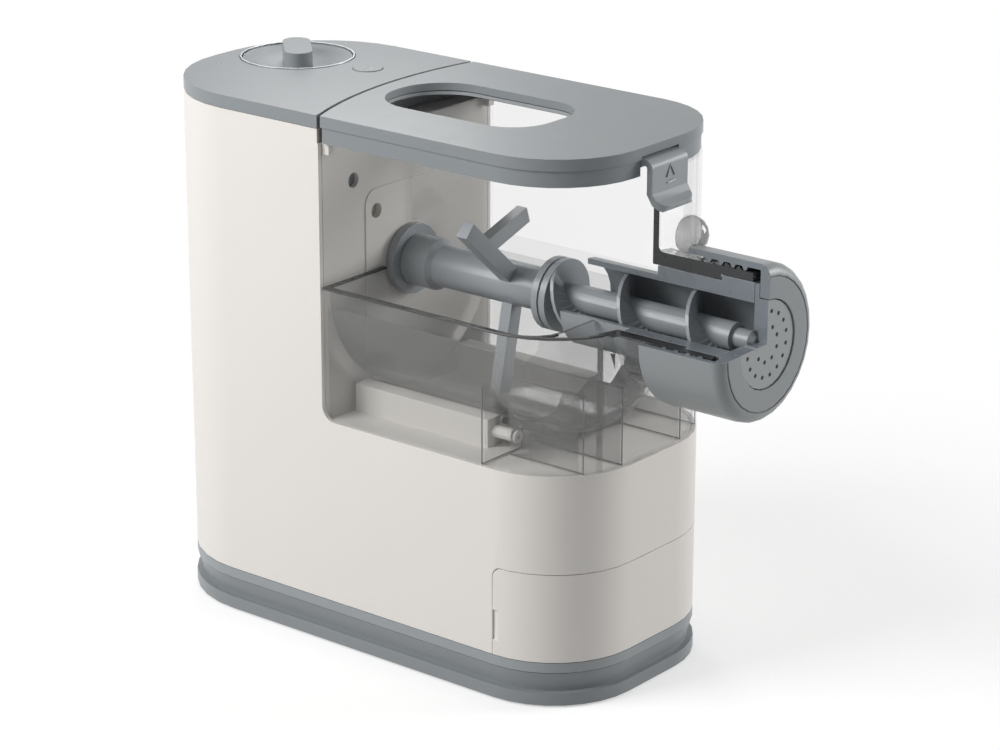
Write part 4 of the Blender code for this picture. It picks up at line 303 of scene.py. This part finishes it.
def board(name, settings):
    look = Look(name)
    tracks = look.add("ShaderNodeTexBrick", {}, {
        "Vector": look.place(), "Scale": settings["scale"],
        "Color1": (*colour(*settings["mask"]), 1), "Color2": (*colour(*settings["maskLight"]), 1),
        "Mortar": (*colour(*settings["track"]), 1)})
    look.set(Base_Color=tracks,
             Roughness=settings["rough"] + look.noise(settings["patch"]) * settings["roughSpread"])
    return look.material


circuit = {"scale": 180, "mask": (24, 84, 52), "maskLight": (28, 96, 60),
           "track": (60, 140, 84), "rough": 0.42, "roughSpread": 0.1, "patch": 90}
finish["boardGreen"] = board("boardGreen", circuit)
print("materials made:", len(finish))


# softened copies of the solids

cleaning = {"weld": 0.000002, "flat": 0.4, "sharp": 35}  # metres, then degrees
anyCopy = {"merge": True, "steps": 2, "angle": 32, "edgeSlot": -1}  # -1: the slot of its face


def addThing(piece, data):
    thing = bpy.data.objects.new(piece, data)
    bpy.context.scene.collection.objects.link(thing)
    return thing


def cleanCopy(settings):
    mesh = nodes[settings["node"]].data.copy()
    mesh.name = settings["piece"]
    work = bmesh.new()
    work.from_mesh(mesh)
    bmesh.ops.remove_doubles(work, verts=work.verts, dist=cleaning["weld"])
    if settings["merge"]:
        bmesh.ops.dissolve_limit(work, angle_limit=radians(cleaning["flat"]), verts=work.verts,
                                 edges=work.edges)
    bmesh.ops.recalc_face_normals(work, faces=work.faces)
    work.to_mesh(mesh)
    work.free()
    mesh.materials.clear()
    if mesh.attributes.get("custom_normal"):
        mesh.attributes.remove(mesh.attributes["custom_normal"])
    return addThing(settings["piece"], mesh)


def settle(thing):
    # the modifiers made part of the mesh
    graph = bpy.context.evaluated_depsgraph_get()
    mesh = bpy.data.meshes.new_from_object(thing.evaluated_get(graph))
    thing.modifiers.clear()
    thing.data = mesh


def soften(thing, settings):
    if settings["round"]:
        edge = thing.modifiers.new("Edge", "BEVEL")
        edge.width = settings["round"]
        edge.material = settings["edgeSlot"]
        edge.segments = settings["steps"]
        edge.limit_method = "ANGLE"
        edge.angle_limit = radians(settings["angle"])
        edge.harden_normals = False
        edge.use_clamp_overlap = True
        edge.miter_outer = "MITER_ARC"
    settle(thing)
    thing.data.shade_smooth()
    thing.data.set_sharp_from_angle(angle=radians(cleaning["sharp"]))
    thing.modifiers.new("Shade", "WEIGHTED_NORMAL").keep_sharp = True
    settle(thing)


def softCopy(own):
    settings = {**anyCopy, **own}
    thing = cleanCopy(settings)
    for name in settings["finish"]:
        thing.data.materials.append(finish[name])
    soften(thing, settings)
    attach(thing, settings["body"])
    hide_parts(settings["node"])
    return thing


def paintFaces(thing, slot, test):
    for face in thing.data.polygons:
        if test(face.center, face.normal):
            face.material_index = slot


axisHeight = 0.193  # of the drive line, where the level cut lies
rearX = -0.1755
section = {"near": 0.0002, "flat": 0.98, "past": 0.001}  # what counts as a face of the cut


def onLevel(centre, normal):
    near = abs(centre.z - axisHeight) < section["near"] and normal.z > section["flat"]
    return near and centre.y < section["past"]


def onSection(centre, normal):
    upright = abs(centre.y) < section["near"] and abs(normal.y) > section["flat"]
    return (upright and centre.z > axisHeight - section["past"]) or onLevel(centre, normal)


shell = {"node": "body_shell", "piece": "bodyShell", "body": "machine", "finish": ["warmWhite"],
         "round": 0.0005}
softCopy(shell)
drawer = {"node": "drawer_front", "piece": "drawerFront", "body": "drawer",
          "finish": ["warmWhite"], "round": 0.0003}
softCopy(drawer)
tower = {"node": "tower_front", "piece": "towerWall", "body": "machine",
         "finish": ["innerWhite"], "round": 0.0003}
softCopy(tower)
floorDeck = {"node": "deck", "piece": "deckFloor", "body": "machine", "finish": ["innerWhite"],
             "round": 0.0006}
softCopy(floorDeck)
baseBand = {"node": "chassis_floor", "piece": "baseBand", "body": "machine",
            "finish": ["bandGrey"], "round": 0.0004}
softCopy(baseBand)
baseSkirt = {"node": "base_tray", "piece": "baseSkirt", "body": "machine",
             "finish": ["baseGrey"], "round": 0.0004}
softCopy(baseSkirt)
cap = {"node": "rear_cap", "piece": "topCap", "body": "machine", "finish": ["topGrey"],
       "round": 0.0007}
softCopy(cap)
lidTop = {"node": "lid", "piece": "lidTop", "body": "lid", "finish": ["topGrey"],
          "round": 0.0007}
softCopy(lidTop)
# the ring's side faces carry a painted highlight in light grey; faces turned up and the rounded
# edges keep the ring's own dark grey
lidRing = {"node": "lid_insert", "piece": "windowRing", "body": "lid",
           "finish": ["insertPaintedHighlight", "insertGrey"], "round": 0.0004, "edgeSlot": 1, "up": 0.9}
paintFaces(softCopy(lidRing), 1, lambda centre, normal: normal.z > lidRing["up"])
latchPlate = {"node": "latch", "piece": "latchPlate", "body": "latch", "finish": ["latchGrey"],
              "round": 0.0006}
softCopy(latchPlate)
print("body, base and lid done")

dialRing = {"node": "dial_ring", "piece": "dialRing", "body": "machine",
            "finish": ["ringSilver"], "round": 0.0002}
softCopy(dialRing)
dialDish = {"node": "dial_dish", "piece": "dialDish", "body": "knob", "finish": ["dialSilver"],
            "round": 0.0002}
softCopy(dialDish)
knobBar = {"node": "knob_handle", "piece": "knobBar", "body": "knob", "finish": ["topGrey"],
           "round": 0.0008, "steps": 3}
softCopy(knobBar)
button = {"node": "start_button", "piece": "startButton", "body": "button",
          "finish": ["topGrey"], "round": 0.0003}
softCopy(button)

nut = {"node": "ring_nut", "piece": "ringNut", "body": "nut", "finish": ["nutGrey", "greyCut"],
       "round": 0.0004, "merge": False}
paintFaces(softCopy(nut), 1, onSection)
barrel = {"node": "extrusion_barrel", "piece": "outletBarrel", "body": "machine",
          "finish": ["screwGrey", "greyCut"], "round": 0.0002}
paintFaces(softCopy(barrel), 1, onSection)
disc = {"node": "shaping_disc", "piece": "shapingDisc", "body": "disc",
        "finish": ["discGrey", "greyCut"], "round": 0, "merge": False}
paintFaces(softCopy(disc), 1, onSection)
auger = {"node": "extrusion_auger", "piece": "outletScrew", "body": "output",
         "finish": ["screwGrey"], "round": 0.0003}
softCopy(auger)
paddle = {"node": "mixing_paddle", "piece": "mixingPaddle", "body": "output",
          "finish": ["screwGrey"], "round": 0.0009}
softCopy(paddle)
coupling = {"node": "drive_coupling", "piece": "driveCoupling", "body": "output",
            "finish": ["screwGrey"], "round": 0.0004}
softCopy(coupling)
print("knob, button and outlet done")


# clear pieces

rim = {"beside": 0.001, "deep": 0.0008, "lean": -0.2}


def nearRim(centre, normal):
    # the narrow faces beside the level cut, which show dark through the wall
    close = centre.y < rim["beside"] and abs(centre.z - axisHeight) < rim["deep"]
    return close and normal.z > rim["lean"]


# the rounded edges of the front panel take the slot of the dark edge lines, painted shade
frontPanel = {"node": "front_panel", "piece": "frontPanel", "body": "machine",
              "finish": ["clearWall", "clearCut", "smokyWall", "clearEdgeShade", "clearGrip"],
              "round": 0.0004, "edgeSlot": 3, "proud": rearX + 0.2868,
              "grip": (rearX + 0.2920, 0.0225, 0.2305), "gripReach": 0.0108}


def onGrip(centre, normal):
    near = (centre - Vector(frontPanel["grip"])).length < frontPanel["gripReach"]
    return near and centre.x > frontPanel["proud"]


clearFront = softCopy(frontPanel)
paintFaces(clearFront, 2, lambda centre, normal: centre.x > frontPanel["proud"])
paintFaces(clearFront, 4, onGrip)
paintFaces(clearFront, 1, nearRim)
paintFaces(clearFront, 1, onSection)

# the rounded edges of the chamber take the slot of the dark edge lines, painted shade
chamber = {"node": "mixing_chamber", "piece": "mixingChamber", "body": "machine",
           "finish": ["clearWall", "clearCut", "clearEdgeShade", "clearTrough", "clearSkirt"],
           "round": 0.0004, "edgeSlot": 2, "troughRadius": 0.0672, "troughSide": 0.0645,
           "bendFrom": 0.0500, "bendMiddle": 0.0415, "bendRadius": 0.0725, "lean": 0.3,
           "backWall": rearX + 0.1300}


def onTrough(centre, normal):
    out = sqrt(centre.y ** 2 + (centre.z - axisHeight) ** 2)
    low = centre.z < axisHeight - section["past"]
    return low and out < chamber["troughRadius"] and abs(centre.y) < chamber["troughSide"]


def onSkirt(centre, normal):
    low = centre.z < axisHeight - section["past"] and abs(normal.z) < chamber["lean"]
    if centre.x < chamber["bendFrom"]:
        return low and abs(centre.y) > chamber["troughSide"]
    out = sqrt((centre.x - chamber["bendMiddle"]) ** 2 + centre.y ** 2)
    return low and out > chamber["bendRadius"]


def onBackWall(centre, normal):
    # the upright cut of the rear wall, which stays clear
    cut = abs(centre.y) < section["near"] and normal.y < -section["flat"]
    return cut and centre.x < chamber["backWall"]


clearChamber = softCopy(chamber)
paintFaces(clearChamber, 3, onTrough)
paintFaces(clearChamber, 4, onSkirt)
paintFaces(clearChamber, 1, nearRim)
paintFaces(clearChamber, 1, onSection)
paintFaces(clearChamber, 0, onBackWall)


def leaveOut(work, rear, front, beside):
    # no band where the rim runs past the barrel
    for place, normal in (((rear, 0, 0), (1, 0, 0)), ((front, 0, 0), (1, 0, 0)),
                          ((0, beside, 0), (0, 1, 0))):
        bmesh.ops.bisect_plane(work, geom=work.verts[:] + work.edges[:] + work.faces[:],
                               plane_co=place, plane_no=normal)
    middles = [(face, face.calc_center_median()) for face in work.faces]
    inside = [face for face, middle in middles if rear < middle.x < front and middle.y > beside]
    bmesh.ops.delete(work, geom=inside, context="FACES")


def rimBand(settings, thing):
    # the level cut carried down into the wall, so that it shows dark from the side
    work = bmesh.new()
    work.from_mesh(thing.data)
    away = [face for face in work.faces if not onLevel(face.calc_center_median(), face.normal)]
    bmesh.ops.delete(work, geom=away, context="FACES")
    if "clear" in settings:
        leaveOut(work, *settings["clear"])
    bmesh.ops.remove_doubles(work, verts=work.verts, dist=cleaning["weld"])
    work.verts.index_update()
    down = Vector((0, 0, -settings["deep"]))
    upper = [corner.co - Vector((0, 0, settings["sunk"])) for corner in work.verts]
    top = [[corner.index for corner in face.verts] for face in work.faces]
    below = len(upper)  # each lower corner comes this many after the one above it
    bottom = [[corner + below for corner in reversed(face)] for face in top]
    sides = []
    for edge in work.edges:
        if len(edge.link_loops) == 1:
            start = edge.link_loops[0].vert.index
            end = edge.link_loops[0].link_loop_next.vert.index
            sides.append([end, start, start + below, end + below])
    work.free()
    mesh = bpy.data.meshes.new(settings["piece"])
    mesh.from_pydata(upper + [corner + down for corner in upper], [], top + bottom + sides)
    mesh.materials.append(finish["clearCut"])
    mesh.shade_smooth()
    band = addThing(settings["piece"], mesh)
    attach(band, "machine")


chamberRim = {"piece": "chamberRim", "sunk": 0.0001, "deep": 0.0010,
              "clear": (0.0872, 0.0935, -0.0505)}
rimBand(chamberRim, clearChamber)
panelRim = {"piece": "panelRim", "sunk": 0.0001, "deep": 0.0007}
rimBand(panelRim, clearFront)


def ribLines(settings):
    # the dark lines along the plates under the trough, inside their clear plastic
    rear, low, high = rearX + settings["rear"], settings["low"], settings["high"]
    inner, outer = settings["cross"]
    runs = []
    for side in (-1, 1):
        for across, reach in settings["plates"]:
            front = rearX + reach
            runs += [((front, side * across, low), (front, side * across, high)),
                     ((rear, side * across, low), (front, side * across, low)),
                     ((rear, side * across, high), (front, side * across, high))]
        runs += [((rear, side * outer, low), (rear, side * outer, high)),
                 ((rear, side * inner, low), (rear, side * inner, settings["innerHigh"])),
                 ((rear, side * inner, low), (rear, side * outer, low))]
    work = bmesh.new()
    for start, end in runs:
        start, end = Vector(start), Vector(end)
        size = [abs(value) + settings["width"] for value in end - start]
        bmesh.ops.create_cube(work, size=1, matrix=Matrix.Translation((start + end) / 2)
                              @ Matrix.Diagonal((*size, 1)))
    mesh = bpy.data.meshes.new(settings["piece"])
    work.to_mesh(mesh)
    work.free()
    mesh.materials.append(finish["ribShade"])
    lines = addThing(settings["piece"], mesh)
    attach(lines, "machine")


ribEdges = {"piece": "ribEdges", "width": 0.0005, "rear": 0.2300, "low": 0.1229,
            "high": 0.1624, "innerHigh": 0.1345, "plates": ((0.0240, 0.2836), (0.0462, 0.2769)),
            "cross": (0.0352, 0.0664)}
ribLines(ribEdges)
print("clear pieces done")


# solids that stay, with their finishes

kept = {
    "innerWhite": ["drawer_tray", "locating_peg_1", "locating_peg_2"],
    "bandGrey": ["safety_switch"],
    "baseGrey": ["spare_disc_1", "spare_disc_2"],
    "lens": ["indicator_lens"],
    # the cradle_pad is painted shade: a dark piece in the shaded gap under the front of the
    # trough; the others are rubber
    "darkRubberAndShade": ["cradle_pad", "shaft_seal", "cord_gland", "program_switch",
                   "start_switch", "foot_1", "foot_2", "foot_3", "foot_4"],
    "steel": ["latch_pin", "output_shaft", "motor_shaft", "motor_body", "idler_pin",
              "base_screw_1", "base_screw_2", "base_screw_3", "base_screw_4",
              "motor_screw_1", "motor_screw_2"],
    "bronze": ["rear_bush", "front_bush"],
    "boardGreen": ["control_board"],
    "gearPlastic": ["output_wheel", "idler_gear", "gearbox_housing", "gearbox_cover",
                    "cooling_fan"],
}
for name, names in kept.items():
    for node in names:
        for slot in nodes[node].material_slots:
            slot.material = finish[name]
print("kept solids finished")


# small raised marks

def ribbonMark(settings):
    # a round line through points on a face, half sunk in it, with closed ends
    curve = bpy.data.curves.new(settings["piece"], "CURVE")
    curve.dimensions = "3D"
    curve.bevel_depth = settings["width"]
    curve.bevel_resolution = 2
    curve.use_fill_caps = True
    for points in settings["lines"]:
        spline = curve.splines.new("POLY")
        spline.points.add(len(points) - 1)
        for point, place in zip(spline.points, points):
            point.co = (*place, 1)
    thing = addThing(settings["piece"], curve)
    mesh = bpy.data.meshes.new_from_object(
        thing.evaluated_get(bpy.context.evaluated_depsgraph_get()))
    bpy.data.objects.remove(thing)
    mesh.materials.append(finish[settings["finish"]])
    mesh.shade_smooth()
    solid = addThing(settings["piece"], mesh)
    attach(solid, settings["body"])


latchFace = rearX + 0.2922
latchMark = {
    "piece": "latchMark", "body": "latch", "finish": "markGrey", "width": 0.00045,
    "lines": [[(latchFace, -0.0030, 0.2657), (latchFace, 0, 0.2712),
               (latchFace, 0.0031, 0.2659)]],
}
ribbonMark(latchMark)
barFace = latchFace + 0.0003
latchBar = {
    "piece": "latchBar", "body": "latch", "finish": "markLight", "width": 0.0004,
    "lines": [[(barFace, -0.0024, 0.2629), (barFace, 0.0040, 0.2634)]],
}
ribbonMark(latchBar)
buttonTop = 0.2818
buttonMark = {
    "piece": "buttonMark", "body": "button", "finish": "markLight", "width": 0.00026,
    "lines": [[(rearX + 0.0796, 0.0196, buttonTop), (rearX + 0.0796, 0.0226, buttonTop),
               (rearX + 0.0820, 0.0211, buttonTop), (rearX + 0.0796, 0.0196, buttonTop)],
              [(rearX + 0.0834, 0.0197, buttonTop), (rearX + 0.0834, 0.0225, buttonTop)],
              [(rearX + 0.0846, 0.0197, buttonTop), (rearX + 0.0846, 0.0225, buttonTop)]],
}
ribbonMark(buttonMark)
print("marks done")


# floor, light and camera

studio = {"reach": 6, "paper": 0.62, "paperRough": 0.9, "lift": 0.50, "clearFrom": 0.24,
          "clearTo": 0.55, "ambient": 0.20}


def makeFloor():
    reach = studio["reach"]
    mesh = bpy.data.meshes.new("studioFloor")
    mesh.from_pydata([(-reach, -reach, 0), (reach, -reach, 0), (reach, reach, 0),
                      (-reach, reach, 0)], [], [(0, 1, 2, 3)])
    floor = addThing("studioFloor", mesh)
    look = Look("floorPaper")
    grey, lift = studio["paper"], studio["lift"]
    away = look.add("ShaderNodeVectorMath", {"operation": "LENGTH"}, {0: look.place()}, 1)
    far = ((away - studio["clearFrom"]) / (studio["clearTo"] - studio["clearFrom"])).clamp()
    seen = look.seen()
    white = look.add("ShaderNodeEmission", {}, {"Color": (1, 1, 1, 1), "Strength": 1.0})
    look.set(Base_Color=(grey, grey, grey, 1), Roughness=studio["paperRough"],
             Emission_Color=look.mix(seen, (0, 0, 0), (lift, lift, lift)),
             Emission_Strength=1.0)
    mixed = look.add("ShaderNodeMixShader", {}, {
        0: far * seen, 1: Wire(look, look.shader.outputs[0]), 2: white})
    look.plug(look.output.inputs["Surface"], mixed)
    mesh.materials.append(look.material)


def makeSky():
    look = Look("studioSky", world=True)
    look.set(Color=(1, 1, 1, 1),
             Strength=look.seen() * (1 - studio["ambient"]) + studio["ambient"])
    bpy.context.scene.world = look.material


lamps = {
    "keyLamp": {"power": 16.5, "size": 0.8, "place": (-0.62, -1.05, 0.95), "aim": (0, 0, 0.12)},
    "topLamp": {"power": 0.80, "size": 0.18, "place": (-0.44, 0.40, 0.60), "aim": (0, 0, 0.28)},
    "sideLamp": {"power": 20, "size": 0.8, "place": (1.15, 1.45, 0.70), "aim": (0, 0, 0.15)},
}


def makeLamp(name, settings):
    lamp = bpy.data.lights.new(name, "AREA")
    lamp.energy = settings["power"]
    lamp.size = settings["size"]
    thing = addThing(name, lamp)
    thing.location = settings["place"]
    toAim = Vector(settings["aim"]) - Vector(settings["place"])
    thing.rotation_euler = toAim.to_track_quat("-Z", "Y").to_euler()


makeFloor()
makeSky()
for name, settings in lamps.items():
    makeLamp(name, settings)

camera = {"place": (1.00719, -1.22908, 0.69105), "azimuth": 38.99655, "elevation": 19.15494,
          "roll": 0.10217, "lens": 118.222, "film": 36, "near": 0.05, "far": 50}


def makeCamera():
    turn, rise = radians(camera["azimuth"]), radians(camera["elevation"])
    back = Vector((sin(turn) * cos(rise), -cos(turn) * cos(rise), sin(rise)))
    right = (-back).cross(Vector((0, 0, 1))).normalized()
    up = right.cross(-back)
    roll = radians(camera["roll"])
    rolledRight = right * cos(roll) + up * sin(roll)
    rolledUp = up * cos(roll) - right * sin(roll)
    lensData = bpy.data.cameras.new("photoCamera")
    lensData.lens = camera["lens"]
    lensData.sensor_width = camera["film"]
    lensData.clip_start = camera["near"]
    lensData.clip_end = camera["far"]
    thing = addThing("photoCamera", lensData)
    basis = Matrix((rolledRight, rolledUp, back)).transposed().to_4x4()
    basis.translation = Vector(camera["place"])
    thing.matrix_world = basis
    bpy.context.scene.camera = thing


makeCamera()
print("light and camera done")
